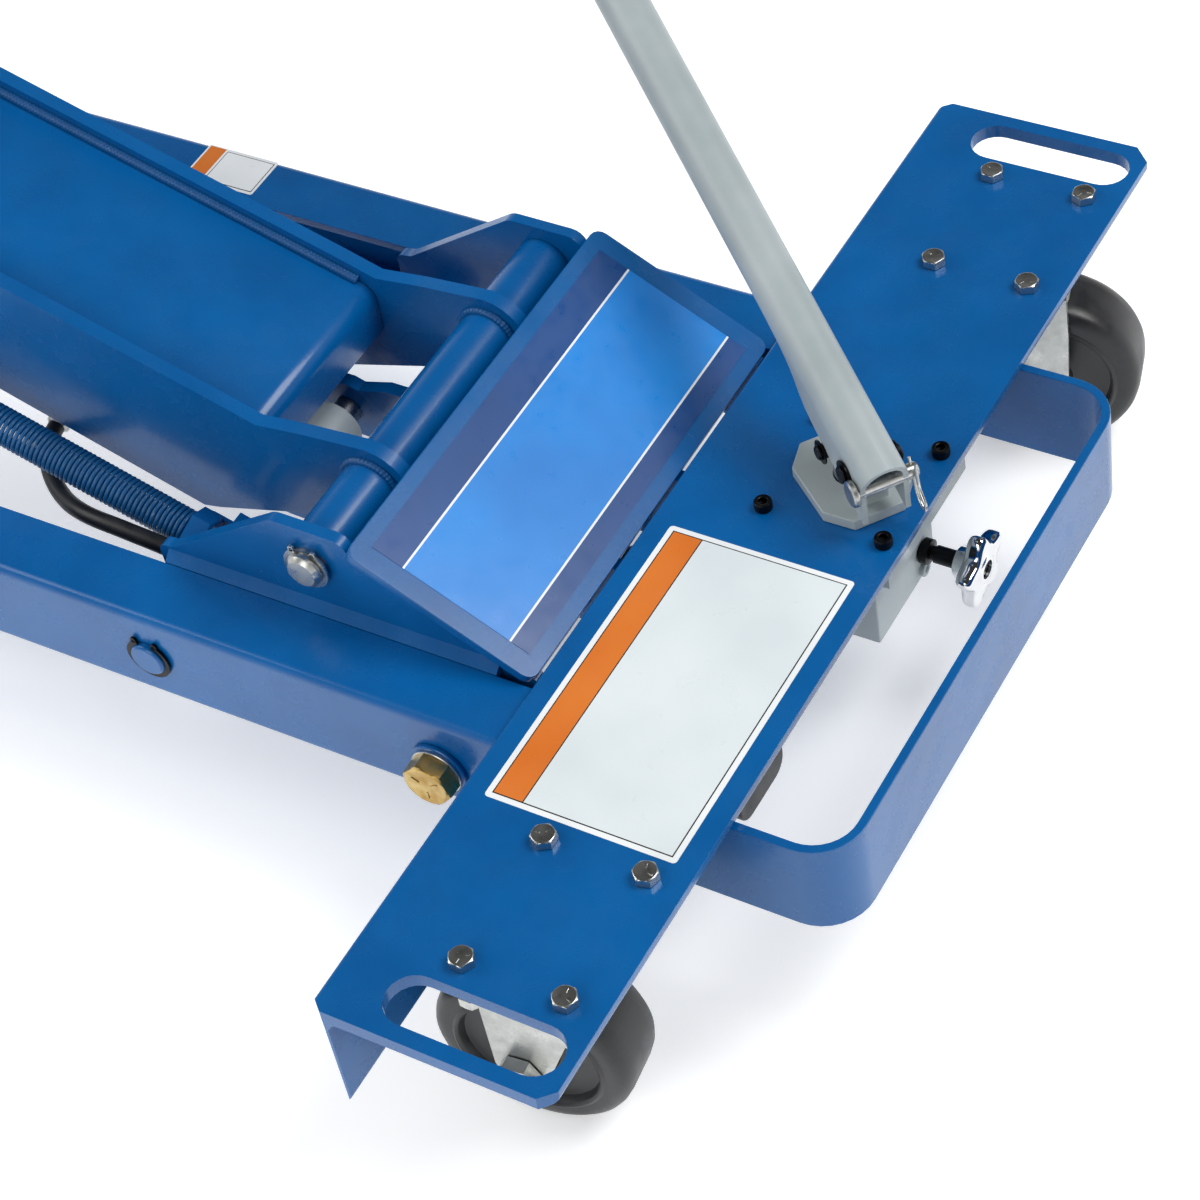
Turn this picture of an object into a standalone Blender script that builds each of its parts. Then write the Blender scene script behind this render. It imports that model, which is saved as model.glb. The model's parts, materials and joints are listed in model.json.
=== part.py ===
"""Low hydraulic lift jack on casters.

Everything is drawn in the jack's own frame, in millimetres: X across (plus is the operator's left),
Y from the front (minus) to the rear (plus), Z up, with the origin on top of the rear cross member at its
middle. The empty "jack_frame" then stands the whole jack on the floor.
"""
import math

import bmesh
import bpy
from mathutils import Matrix, Vector

MM = 0.001
GAP = 0.3                      # clearance between touching pieces

# ---- driving dimensions, mm -------------------------------------------------------------------
MEMBER_LENGTH = 824.6          # rear cross member, across
MEMBER_DEPTH = 156.0           # its top leg, front to rear
MEMBER_WALL = 10.0
MEMBER_DROP = 89.0             # its front leg, downwards
ROOT_FILLET = 9.0
SLOT_X, SLOT_Y = 385.0, 14.0   # hand slot centre
SLOT_WIDTH, SLOT_LENGTH = 34.0, 113.0

RAIL_OUT = 203.0               # outer face of a side rail's web
RAIL_FLANGE = 46.5
RAIL_HEIGHT = 74.0
RAIL_WALL = 6.0
RAIL_FRONT = -1000.0

LOOP_REAR = 146.4              # outer face of the guard loop's rear run
LOOP_HEIGHT = 70.5
LOOP_BEND = 33.0               # outer bend radius

GUSSET_OUT = 149.5             # outer face of a gusset
GUSSET_WALL = 8.0
COVER_HALF = 156.0
COVER_WALL = 7.0
COVER_LOW = (-81.7, -4.9)      # lower and upper edge of the cover's top face (y, z)
COVER_HIGH = (-202.3, 59.4)

PIVOT = (-238.0, 29.7)         # lift arm pivot (y, z)
PIVOT_PIN_R = 12.5
PIVOT_TUBE_R = 19.2
EYE_R = 30.0
ARM_OUT = 77.4                 # outer face of an arm plate
ARM_WALL = 10.0
TOP_PLATE_WALL = 8.0
HEAD_PIN = (-820.0, 150.0)
HEAD_PIN_R = 14.0

RAM_BASE = (-344.0, -47.0)     # base pin of the ram, also the height of the rail pins
RAM_TOP = (-590.0, 50.0)       # rod pin of the ram
RAM_BODY_R = 30.0
RAM_BODY_LENGTH = 180.0
RAM_ROD_R = 14.0
RAM_LOWERING = 38.0            # stroke left below the rest height
RAIL_PIN_R = 12.5
CRADLE_OUT = 46.0
CRADLE_WALL = 10.0
CROSS_TUBE = (-128.0, -53.0)
CROSS_TUBE_R = 17.0
CROSS_BOLT_R = 10.0

SPRING_X = 110.0
SPRING_REAR = (-365.0, -36.0)
SPRING_SLOPE = math.radians(17.8)
SPRING_R = 13.0
SPRING_REACH = 330.0           # from the rear anchor to the stud on the arm
HOSE_R = 6.0

PUMP = (-60.5, 25.0)           # centre of the pump plunger (x, y)
PUMP_BLOCK = (81.0, 62.6, 75.1)
PUMP_FLANGE = (110.0, 100.0, 12.0)
PLUNGER_R = 11.0
RELEASE = (-83.2, -72.2)       # release rod (x, z)
RELEASE_ROD_R = 6.0
KNOB_R, KNOB_WIDTH = 26.5, 13.0
KNOB_FACE = 103.0

HANDLE_TURN = math.radians(38.0)   # the handle's heading, measured from straight ahead
HANDLE_RISE = math.radians(19.0)
HANDLE_R = 16.0
HANDLE_WALL = 3.5
HANDLE_LENGTH = 938.5
GRIP_LENGTH = 120.0
FULCRUM = (31.0, 43.0)         # (w, z) in the socket's frame, w pointing away from the handle
PLUNGER_PIN = (-3.0, 32.0)
CLEVIS_PIN = (46.0, 40.0)
FULCRUM_R, SMALL_PIN_R = 6.0, 5.0

CASTER_X, CASTER_Y = 305.6, 20.1
CASTER_PLATE = (114.3, 101.6, 6.4)
CASTER_LEAD = 24.0             # swivel axis to wheel axle
CASTER_HEIGHT = 165.1
WHEEL_R, WHEEL_WIDTH = 63.5, 50.8
CASTER_TURN = {"left": 6.0 + 180.0, "right": 16.0}   # degrees about the swivel axis

FRONT_AXLE_Y = -985.0
FRONT_WHEEL_R, FRONT_WHEEL_WIDTH = 50.8, 38.0
FRONT_AXLE_R = 10.0

SADDLE_RISE = 84.0             # saddle tilt pin above the head pin
SADDLE_SIZE = (190.0, 150.0, 10.0)
LINK_X = -110.0
LINK_WALL = 10.0
LINK_DEPTH = 30.0

FLOOR = -MEMBER_WALL - CASTER_HEIGHT

# ---- collections and materials ---------------------------------------------------------------
for old in list(bpy.data.objects):
    bpy.data.objects.remove(old, do_unlink=True)

parts = bpy.data.collections.new("lift_jack")
cutters = bpy.data.collections.new("cutters")
for collection in (parts, cutters):
    bpy.context.scene.collection.children.link(collection)

jack_frame = bpy.data.objects.new("jack_frame", None)
parts.objects.link(jack_frame)


def finish(name, colour, roughness, metallic=0.0):
    material = bpy.data.materials.new(name)
    material.use_nodes = True
    shader = material.node_tree.nodes["Principled BSDF"]
    shader.inputs["Base Color"].default_value = (*colour, 1.0)
    shader.inputs["Roughness"].default_value = roughness
    shader.inputs["Metallic"].default_value = metallic
    return material


BLUE = finish("blue_enamel", (0.002, 0.12, 0.40), 0.35)
GREY = finish("grey_paint", (0.38, 0.42, 0.43), 0.45)
ZINC = finish("zinc_plate", (0.60, 0.60, 0.58), 0.35, 1.0)
YELLOW_ZINC = finish("yellow_zinc", (0.62, 0.50, 0.26), 0.35, 1.0)
BLACK_OXIDE = finish("black_oxide", (0.02, 0.02, 0.022), 0.45, 1.0)
CHROME = finish("chrome", (0.75, 0.75, 0.76), 0.10, 1.0)
STEEL = finish("ground_steel", (0.55, 0.55, 0.56), 0.25, 1.0)
RUBBER = finish("black_rubber", (0.015, 0.016, 0.017), 0.6)
PLASTIC = finish("black_plastic", (0.03, 0.032, 0.033), 0.5)


# ---- shape tools ------------------------------------------------------------------------------
def arc(centre, radius, start, end, steps=8):
    """Points of an arc in a plane, angles in degrees."""
    turns = [math.radians(start + (end - start) * i / steps) for i in range(steps + 1)]
    return [(centre[0] + radius * math.cos(t), centre[1] + radius * math.sin(t)) for t in turns]


def circle(centre, radius, steps=24):
    return arc(centre, radius, 0.0, 360.0, steps)[:-1]


def rounded_rectangle(low, high, radius, steps=4):
    (x0, y0), (x1, y1) = low, high
    corners = (((x1 - radius, y0 + radius), -90.0), ((x1 - radius, y1 - radius), 0.0),
               ((x0 + radius, y1 - radius), 90.0), ((x0 + radius, y0 + radius), 180.0))
    return [p for centre, start in corners for p in arc(centre, radius, start, start + 90.0, steps)]


def frame_at(origin, u, v):
    """Matrix that carries drawing axes u, v and their normal to a place in the jack's frame."""
    u, v = Vector(u).normalized(), Vector(v).normalized()
    w = u.cross(v)
    columns = (u, v, w)
    turned_axes = Matrix([[columns[c][r] for c in range(3)] for r in range(3)]).to_4x4()
    return Matrix.Translation(Vector(origin) * MM) @ turned_axes


def side_frame(x):
    """Drawing axes (y, z), thickness along X, centred on x."""
    return frame_at((x, 0.0, 0.0), (0, 1, 0), (0, 0, 1))


def flat_frame(z):
    return frame_at((0.0, 0.0, z), (1, 0, 0), (0, 1, 0))


def front_frame(y):
    """Drawing axes (x, z), thickness along Y, centred on y."""
    return frame_at((0.0, y, 0.0), (1, 0, 0), (0, 0, 1))


def along(start, end):
    """Matrix whose Z axis runs from start to end."""
    direction = (Vector(end) - Vector(start)).normalized()
    turn = direction.to_track_quat("Z", "Y").to_matrix().to_4x4()
    return Matrix.Translation(Vector(start) * MM) @ turn


def add(name, mesh, material, matrix, cutter=False):
    node = bpy.data.objects.new(name, mesh)
    node.data.materials.clear()
    node.data.materials.append(material)
    (cutters if cutter else parts).objects.link(node)
    node.parent = jack_frame
    node.matrix_world = matrix
    if cutter:
        node.hide_render = True
        node.display_type = "WIRE"
    return node


def prism(name, loops, thickness, frame, material, cutter=False):
    """Flat outline, with its holes as further loops, extruded to a thickness about the frame's plane."""
    curve = bpy.data.curves.new(name, "CURVE")
    curve.dimensions = "2D"
    curve.fill_mode = "BOTH"
    curve.extrude = thickness / 2.0
    for points in loops:
        spline = curve.splines.new("POLY")
        spline.points.add(len(points) - 1)
        for point, (u, v) in zip(spline.points, points):
            point.co = (u, v, 0.0, 1.0)
        spline.use_cyclic_u = True
    outline = bpy.data.objects.new(name + "_outline", curve)
    bpy.context.scene.collection.objects.link(outline)
    shape = bpy.data.meshes.new_from_object(outline.evaluated_get(bpy.context.evaluated_depsgraph_get()))
    bpy.data.objects.remove(outline)
    shape.name = name
    body = bmesh.new()
    body.from_mesh(shape)
    bmesh.ops.remove_doubles(body, verts=body.verts, dist=1e-3)
    bmesh.ops.scale(body, vec=(MM, MM, MM), verts=body.verts)
    bmesh.ops.recalc_face_normals(body, faces=body.faces)
    body.to_mesh(shape)
    body.free()
    return add(name, shape, material, frame, cutter)


def block(name, low, high, material, cutter=False, edge=0.0):
    low, high = Vector(low), Vector(high)
    size, centre = (high - low) * MM, (high + low) * MM / 2.0
    body = bmesh.new()
    bmesh.ops.create_cube(body, size=1.0, matrix=Matrix.Diagonal((*size, 1.0)))
    mesh = bpy.data.meshes.new(name)
    body.to_mesh(mesh)
    body.free()
    node = add(name, mesh, material, Matrix.Translation(centre), cutter)
    if edge:
        bevel = node.modifiers.new("edge", "BEVEL")
        bevel.width = edge * MM
        bevel.segments = 2
    return node


def rod(name, start, end, radius, material, cutter=False, segments=24, edge=0.0):
    """Round bar from start to end, with chamfered ends where edge is given."""
    length = (Vector(end) - Vector(start)).length
    body = bmesh.new()
    bmesh.ops.create_cone(body, cap_ends=True, segments=segments, radius1=radius * MM, radius2=radius * MM,
                          depth=length * MM, matrix=Matrix.Translation((0, 0, length * MM / 2.0)))
    mesh = bpy.data.meshes.new(name)
    body.to_mesh(mesh)
    body.free()
    node = add(name, mesh, material, along(start, end), cutter)
    if edge:
        bevel = node.modifiers.new("edge", "BEVEL")
        bevel.width = edge * MM
        bevel.segments = 1
        bevel.limit_method = "ANGLE"
        bevel.angle_limit = math.radians(50.0)
    return node


def turned(name, profile, frame, material, steps=36, closed=False):
    """Turned piece: profile points (radius, height) run down the outer side, about the frame's Z axis."""
    points = [(r * MM, 0.0, h * MM) for r, h in profile]
    edges = [(i, i + 1) for i in range(len(points) - 1)]
    if closed:
        edges.append((len(points) - 1, 0))
    mesh = bpy.data.meshes.new(name)
    mesh.from_pydata(points, edges, [])
    node = add(name, mesh, material, frame)
    screw = node.modifiers.new("turn", "SCREW")
    screw.axis = "Z"
    screw.steps = screw.render_steps = steps
    screw.use_merge_vertices = True
    screw.merge_threshold = 1e-5
    return node


def combine(node, other, operation, solver="EXACT"):
    """Boolean of a node with a hidden tool piece."""
    if other.name in parts.objects:
        parts.objects.unlink(other)
        cutters.objects.link(other)
        other.hide_render = True
        other.display_type = "WIRE"
    boolean = node.modifiers.new(operation.lower(), "BOOLEAN")
    boolean.operation = operation
    boolean.solver = solver
    boolean.object = other
    return node


def bore(node, start, end, radius, segments=20, solver="EXACT"):
    hole = rod(node.name + "_bore", start, end, radius, BLUE, cutter=True, segments=segments)
    return combine(node, hole, "DIFFERENCE", solver)


def tube_along(name, points, radius, material):
    """Round flexible piece along a list of points."""
    curve = bpy.data.curves.new(name, "CURVE")
    curve.dimensions = "3D"
    curve.bevel_depth = radius * MM
    curve.bevel_resolution = 2
    curve.use_fill_caps = True
    spline = curve.splines.new("POLY")
    spline.points.add(len(points) - 1)
    for point, place in zip(spline.points, points):
        point.co = (*(Vector(place) * MM), 1.0)
    return add(name, curve, material, Matrix.Identity(4))


def smooth(points, steps=4):
    """Catmull-Rom curve through the points."""
    ends = [Vector(points[0]) * 2 - Vector(points[1])] + [Vector(p) for p in points]
    ends.append(Vector(points[-1]) * 2 - Vector(points[-2]))
    curve = []
    for a, b, c, d in zip(ends, ends[1:], ends[2:], ends[3:]):
        for i in range(steps):
            t = i / steps
            curve.append(0.5 * (2 * b + (c - a) * t + (2 * a - 5 * b + 4 * c - d) * t ** 2
                                + (3 * b - a - 3 * c + d) * t ** 3))
    return curve + [ends[-2]]


def hexagon(centre, across_flats, turn=0.0):
    return arc(centre, across_flats / math.sqrt(3.0), turn, turn + 360.0, 6)[:-1]


# ---- chassis ----------------------------------------------------------------------------------
SIDES = (("left", 1.0), ("right", -1.0))
HALF_DEPTH = MEMBER_DEPTH / 2.0
LEG_FRONT = -HALF_DEPTH
LEG_REAR = LEG_FRONT + MEMBER_WALL
RAIL_TOP = -MEMBER_WALL - GAP


def rear_cross_member():
    """Rolled angle: top leg flat, front leg down, with a hand slot near each end."""
    wall, half = MEMBER_WALL, MEMBER_LENGTH / 2.0
    section = [(HALF_DEPTH, 0.0), *arc((LEG_FRONT + 3.0, -3.0), 3.0, 90.0, 180.0, 3),
               (LEG_FRONT, -MEMBER_DROP), *arc((LEG_REAR - 5.0, 5.0 - MEMBER_DROP), 5.0, -90.0, 0.0, 3),
               *arc((LEG_REAR + ROOT_FILLET, -wall - ROOT_FILLET), ROOT_FILLET, 180.0, 90.0, 4),
               *arc((HALF_DEPTH - 5.0, 5.0 - wall), 5.0, -90.0, 0.0, 3)]
    node = prism("rear_cross_member", [section], MEMBER_LENGTH, side_frame(0.0), BLUE)
    cut = 9.0
    plan = [(half - 8.0, LEG_FRONT - 1.0), (half, LEG_FRONT + 8.0), (half, HALF_DEPTH - cut),
            (half - cut, HALF_DEPTH), (-half + 12.0, HALF_DEPTH), (-half, HALF_DEPTH - 12.0),
            (-half, LEG_FRONT + 8.0), (-half + 8.0, LEG_FRONT - 1.0)]
    plan_tool = prism("member_plan", [plan], 2.0 * MEMBER_DROP + 40.0, flat_frame(0.0), BLUE, cutter=True)
    combine(node, plan_tool, "INTERSECT")
    for side, sign in SIDES:
        low = (sign * SLOT_X - SLOT_WIDTH / 2.0, SLOT_Y - SLOT_LENGTH / 2.0)
        high = (sign * SLOT_X + SLOT_WIDTH / 2.0, SLOT_Y + SLOT_LENGTH / 2.0)
        outline = rounded_rectangle(low, high, SLOT_WIDTH / 2.0 - 0.01, 6)
        slot = prism("slot_" + side, [outline], 60.0, flat_frame(0.0), BLUE, cutter=True)
        combine(node, slot, "DIFFERENCE")
    bore(node, (*PUMP, 20.0), (*PUMP, -40.0), PLUNGER_R + 3.0)
    bore(node, (HOSE_START[0], LEG_REAR + 30.0, HOSE_START[2]),
         (HOSE_START[0], LEG_FRONT - 30.0, HOSE_START[2]), HOSE_R + 3.0)


def side_rails():
    """Formed channels, webs outboard, running from the cross member's front leg to the front end."""
    out, inn = RAIL_OUT, RAIL_OUT - RAIL_FLANGE
    top, low, wall = RAIL_TOP, RAIL_TOP - RAIL_HEIGHT, RAIL_WALL
    section = [(inn, top), *arc((out - wall, top - wall), wall, 90.0, 0.0, 4),
               *arc((out - wall, low + wall), wall, 0.0, -90.0, 4), (inn, low), (inn, low + wall),
               (out - wall, low + wall), (out - wall, top - wall), (inn, top - wall)]
    rear = LEG_FRONT - GAP
    for side, sign in SIDES:
        outline = [(sign * x, z) for x, z in section]
        node = prism("side_rail_" + side, [outline], rear - RAIL_FRONT, front_frame((rear + RAIL_FRONT) / 2.0), BLUE)
        bore(node, (sign * 215.0, *RAM_BASE), (sign * 185.0, *RAM_BASE), RAIL_PIN_R + GAP, 24, "MANIFOLD")
        bore(node, (sign * 215.0, *CROSS_TUBE), (sign * 185.0, *CROSS_TUBE), CROSS_BOLT_R + GAP, 24,
             "MANIFOLD")


def rear_guard_loop():
    """Flat bar on edge, bent to a U behind the rails."""
    out, wall, bend = RAIL_OUT + 0.5, RAIL_WALL, LOOP_BEND
    front, inner = LEG_REAR + ROOT_FILLET + GAP, LOOP_BEND - RAIL_WALL
    right_turn = arc((out - bend, LOOP_REAR - bend), bend, 0.0, 90.0, 8)
    left_turn = arc((bend - out, LOOP_REAR - bend), bend, 90.0, 180.0, 8)
    back = [(out - wall, front), *arc((out - bend, LOOP_REAR - bend), inner, 0.0, 90.0, 8),
            *arc((bend - out, LOOP_REAR - bend), inner, 90.0, 180.0, 8), (wall - out, front)]
    outline = [(out, front), *right_turn, *left_turn, (-out, front), *back[::-1]]
    prism("rear_guard_loop", [outline], LOOP_HEIGHT, flat_frame(RAIL_TOP - LOOP_HEIGHT / 2.0), BLUE)


def cover_underside(y):
    """Height of the cover's underside above a place y, less the touching gap."""
    slope = (COVER_HIGH[1] - COVER_LOW[1]) / (COVER_HIGH[0] - COVER_LOW[0])
    top = COVER_LOW[1] + slope * (y - COVER_LOW[0])
    return top - (COVER_WALL + GAP) * math.hypot(1.0, slope)


def gussets():
    """Plates on the rails that carry the pivot pin and the cover."""
    y, z = PIVOT
    rear, bottom, tip = LEG_FRONT - 6.0, -66.0, y - 123.0
    outline = [(rear, bottom), (rear, cover_underside(rear)), (y + 34.5, cover_underside(y + 34.5)),
               *arc((y + 20.6, z + 17.5), 11.3, 18.0, 90.0, 4), *arc((y - 20.0, z + 17.0), 12.0, 90.0, 125.0, 3),
               (y - 112.0, z - 31.0), *arc((y - 118.0, z - 38.0), 6.0, 90.0, 180.0, 4), (tip, bottom)]
    for side, sign in SIDES:
        middle = sign * (GUSSET_OUT - GUSSET_WALL / 2.0)
        node = prism("gusset_" + side, [outline], GUSSET_WALL, side_frame(middle), BLUE)
        inner_edge = sign * (RAIL_OUT - RAIL_FLANGE - GAP)
        root = [(sign * (GUSSET_OUT - 1.0), RAIL_TOP - 4.0), (inner_edge, RAIL_TOP - 4.0),
                (inner_edge, RAIL_TOP + 0.3), (sign * (GUSSET_OUT - 1.0), RAIL_TOP + 7.0)]
        weld = prism("gusset_root_" + side, [root], 246.0, front_frame(y + 7.0), BLUE)
        combine(node, weld, "UNION")
        bore(node, (sign * 130.0, *PIVOT), (sign * 170.0, *PIVOT), PIVOT_PIN_R + GAP)
        bore(node, (sign * 130.0, *RAM_BASE), (sign * 170.0, *RAM_BASE), RAIL_PIN_R + GAP)
        bore(node, (sign * 130.0, *CROSS_TUBE), (sign * 170.0, *CROSS_TUBE), CROSS_TUBE_R + GAP)


def cover_plate():
    (y0, z0), (y1, z1) = COVER_LOW, COVER_HIGH
    length = math.hypot(y1 - y0, z1 - z0)
    upward = Vector((0.0, y1 - y0, z1 - z0)) / length
    outline = rounded_rectangle((-COVER_HALF, 0.0), (COVER_HALF, length), 8.0, 4)
    frame = frame_at((0.0, y0, z0), (1, 0, 0), upward)
    down = Matrix.Translation((0.0, 0.0, COVER_WALL * MM / 2.0))
    prism("cover_plate", [outline], COVER_WALL, frame @ down, BLUE)


def ram_cradle():
    """Two cheeks from the cross member's front leg that carry the ram's base pin."""
    y, z = RAM_BASE
    rear = LEG_FRONT - GAP
    outline = [(rear, -82.0), (rear, -20.0), (y + 34.0, -20.0), *arc((y, z), 23.0, 60.0, 270.0, 10)]
    for side, sign in SIDES:
        middle = sign * (CRADLE_OUT - CRADLE_WALL / 2.0)
        node = prism("ram_cradle_" + side, [outline], CRADLE_WALL, side_frame(middle), BLUE)
        bore(node, (sign * 30.0, *RAM_BASE), (sign * 52.0, *RAM_BASE), 10.0 + GAP)
        bore(node, (sign * 30.0, *CROSS_TUBE), (sign * 52.0, *CROSS_TUBE), CROSS_TUBE_R + GAP)
    rod("ram_base_pin", (-50.0, *RAM_BASE), (50.0, *RAM_BASE), 10.0, STEEL, edge=1.5)


def rail_hardware():
    """Stub pins, and the cross tube with its two hexagon bolts."""
    rod("rail_pin_left", (RAIL_OUT + 5.0, *RAM_BASE), (GUSSET_OUT - GUSSET_WALL, *RAM_BASE), RAIL_PIN_R, BLUE, edge=1.5)
    rod("rail_pin_right", (-RAIL_OUT - 5.0, *RAM_BASE), (LINK_X + LINK_WALL / 2.0 + 5.0, *RAM_BASE), RAIL_PIN_R, BLUE,
        edge=1.5)
    inside = RAIL_OUT - RAIL_WALL - GAP
    tube = rod("cross_tube", (-inside, *CROSS_TUBE), (inside, *CROSS_TUBE), CROSS_TUBE_R, BLUE)
    bore(tube, (-inside - 5.0, *CROSS_TUBE), (inside + 5.0, *CROSS_TUBE), CROSS_BOLT_R + GAP)
    for side, sign in SIDES:
        face = RAIL_OUT + GAP
        bolt = rod("cross_bolt_" + side, (sign * (face + 5.0), *CROSS_TUBE), (sign * (face - 60.0), *CROSS_TUBE),
                   CROSS_BOLT_R, YELLOW_ZINC)
        washer = rod("cross_washer_" + side, (sign * face, *CROSS_TUBE), (sign * (face + 5.0), *CROSS_TUBE), 18.5,
                     ZINC)
        head = prism("cross_head_" + side, [hexagon(CROSS_TUBE, 30.0, 12.0)], 14.0, side_frame(sign * (face + 11.5)),
                     YELLOW_ZINC)
        combine(bolt, washer, "UNION")
        combine(bolt, head, "UNION")


def front_end():
    """Cross bar, drop brackets, axle and front wheels."""
    inside = RAIL_OUT - RAIL_WALL - GAP
    y, z = FRONT_AXLE_Y, FLOOR + FRONT_WHEEL_R
    low, high = RAIL_TOP - RAIL_HEIGHT + RAIL_WALL + GAP, RAIL_TOP - RAIL_WALL - GAP
    block("front_cross_bar", (-inside, RAIL_FRONT, low), (inside, RAIL_FRONT + 10.0, high), BLUE)
    outline = [(y - 15.0, RAIL_TOP), (y - 15.0, -90.0), *arc((y, z), 22.0, 180.0, 360.0, 8), (y + 45.0, -90.0),
               (y + 45.0, RAIL_TOP)]
    for side, sign in SIDES:
        plate = sign * (RAIL_OUT + GAP + 5.0)
        node = prism("front_bracket_" + side, [outline], 10.0, side_frame(plate), BLUE)
        bore(node, (sign * 190.0, y, z), (sign * 230.0, y, z), FRONT_AXLE_R + GAP)
        middle = RAIL_OUT + 16.0 + FRONT_WHEEL_WIDTH / 2.0
        wheel("front_wheel_" + side, (sign * middle, y, z), (1.0, 0.0, 0.0), FRONT_WHEEL_R, FRONT_WHEEL_WIDTH,
              FRONT_AXLE_R, 5.0)
    end = RAIL_OUT + 24.0 + FRONT_WHEEL_WIDTH
    rod("front_axle", (-end, y, z), (end, y, z), FRONT_AXLE_R, ZINC, edge=1.5)


def wheel(name, centre, axis, radius, width, axle, edge):
    """Solid wheel: rounded tread, recessed face with a raised rim bead, and a hub."""
    half, rim = width / 2.0, radius * 0.74
    side = [(axle + GAP, half + 3.0), (axle + 9.0, half + 3.0), (axle + 10.0, half - 7.0), (rim - 4.0, half - 7.0),
            (rim, half), (radius - edge, half), (radius - edge * 0.3, half - edge * 0.3), (radius, half - edge)]
    profile = side + [(r, -h) for r, h in side[::-1]]
    frame = along(Vector(centre), Vector(centre) + Vector(axis))
    return turned(name, profile, frame, RUBBER, 30, closed=True)


# ---- casters ----------------------------------------------------------------------------------
def casters():
    for side, sign in SIDES:
        x, y = sign * CASTER_X, CASTER_Y
        top = -MEMBER_WALL - GAP
        length, depth, wall = CASTER_PLATE
        plate = block("caster_plate_" + side, (x - length / 2.0, y - depth / 2.0, top - wall),
                      (x + length / 2.0, y + depth / 2.0, top), ZINC)
        race = rod("caster_race_" + side, (x, y, top - wall + 1.0), (x, y, top - wall - 11.0), 31.0, ZINC)
        combine(plate, race, "UNION")
        turn = math.radians(CASTER_TURN[side])
        across = Vector((math.cos(turn), math.sin(turn), 0.0))
        trail = Vector((-math.sin(turn), math.cos(turn), 0.0))
        fork_top = top - wall - 11.0 - GAP
        axle_z = FLOOR + WHEEL_R
        axle = Vector((x, y, axle_z)) + trail * CASTER_LEAD
        fork = rod("caster_fork_" + side, (x, y, fork_top), (x, y, fork_top - 6.0), 36.0, ZINC)
        bridge = prism("fork_bridge_" + side, [rounded_rectangle((-34.0, -30.0), (34.0, 42.0), 8.0)], 6.0,
                       frame_at((x, y, fork_top - 3.2), across, trail), ZINC)
        combine(fork, bridge, "UNION")
        outline = [(-28.0, fork_top - 0.4), *arc((CASTER_LEAD, axle_z), 17.0, 200.0, 360.0, 6), (42.0, -60.0),
                   (41.0, fork_top - 0.4)]
        for hand in (1.0, -1.0):
            leg = prism("fork_leg_" + side, [outline], 5.0,
                        frame_at(Vector((x, y, 0.0)) + across * (hand * 31.6), trail, (0, 0, 1)), ZINC)
            combine(fork, leg, "UNION")
        bore(fork, axle - across * 50.0, axle + across * 50.0, 8.0 + GAP)
        wheel("caster_wheel_" + side, axle, across, WHEEL_R, WHEEL_WIDTH, 8.0, 9.0)
        outward = across if across.x * sign > 0 else -across
        bolt = rod("caster_axle_" + side, axle - outward * 44.0, axle + outward * 38.0, 8.0, ZINC)
        head = prism("axle_head_" + side, [hexagon((0.0, 0.0), 24.0)], 9.0,
                     frame_at(axle + outward * 39.2, trail, (0, 0, 1)), ZINC)
        combine(bolt, head, "UNION")


# ---- lift arm ---------------------------------------------------------------------------------
def arm_plates():
    y, z = PIVOT
    hy, hz = HEAD_PIN
    outline = [*arc((y, z), EYE_R, -60.0, 100.0, 12), (y - 47.0, z + 26.0), (y - 83.0, z + 21.3),
               (y - 110.0, z + 30.3), (hy + 30.0, hz + 48.0), *arc((hy, hz), 50.0, 90.0, 270.0, 12),
               (y - 303.0, z - 26.0), (y - 149.0, z - 77.2), (y - 135.0, z - 74.0)]
    for side, sign in SIDES:
        middle = sign * (ARM_OUT - ARM_WALL / 2.0)
        node = prism("arm_plate_" + side, [outline], ARM_WALL, side_frame(middle), BLUE)
        bore(node, (sign * 60.0, *PIVOT), (sign * 90.0, *PIVOT), PIVOT_TUBE_R + GAP)
        bore(node, (sign * 60.0, *HEAD_PIN), (sign * 90.0, *HEAD_PIN), HEAD_PIN_R + GAP)
        bore(node, (sign * 60.0, *RAM_TOP), (sign * 90.0, *RAM_TOP), 10.0 + GAP)
        if side == "left":
            stud = rod("spring_stud", (ARM_OUT - 2.0, *SPRING_FRONT), (SPRING_X - 14.0, *SPRING_FRONT), 9.0, BLUE)
            combine(node, stud, "UNION")


def arm_top_plate():
    """Plate between the arm plates, bent down at the rear end."""
    y, z = PIVOT
    slope = math.radians(17.3)
    back = Vector((math.cos(slope), -math.sin(slope)))
    up = Vector((math.sin(slope), math.cos(slope)))
    bend_start = Vector((y - 112.0, z + 20.0))
    front = bend_start - back * 430.0
    wall, bend = TOP_PLATE_WALL, 38.0
    centre = bend_start - up * bend
    first = math.degrees(math.atan2(up.y, up.x))
    outer = [tuple(front), *arc(centre, bend, first, 5.0, 8)]
    inner = [tuple(front - up * wall), *arc(centre, bend - wall, first, 5.0, 8)]
    prism("arm_top_plate", [outer + inner[::-1]], 2.0 * (ARM_OUT - ARM_WALL - GAP), side_frame(0.0), BLUE)


def pivot():
    inside = GUSSET_OUT - GUSSET_WALL - 0.6
    tube = rod("pivot_tube", (-inside, *PIVOT), (inside, *PIVOT), PIVOT_TUBE_R, BLUE, segments=36)
    bore(tube, (-inside - 5.0, *PIVOT), (inside + 5.0, *PIVOT), PIVOT_PIN_R + 0.5)
    rod("pivot_pin", (-GUSSET_OUT - 10.5, *PIVOT), (GUSSET_OUT + 10.5, *PIVOT), PIVOT_PIN_R, ZINC, segments=32,
        edge=2.0)


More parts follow.
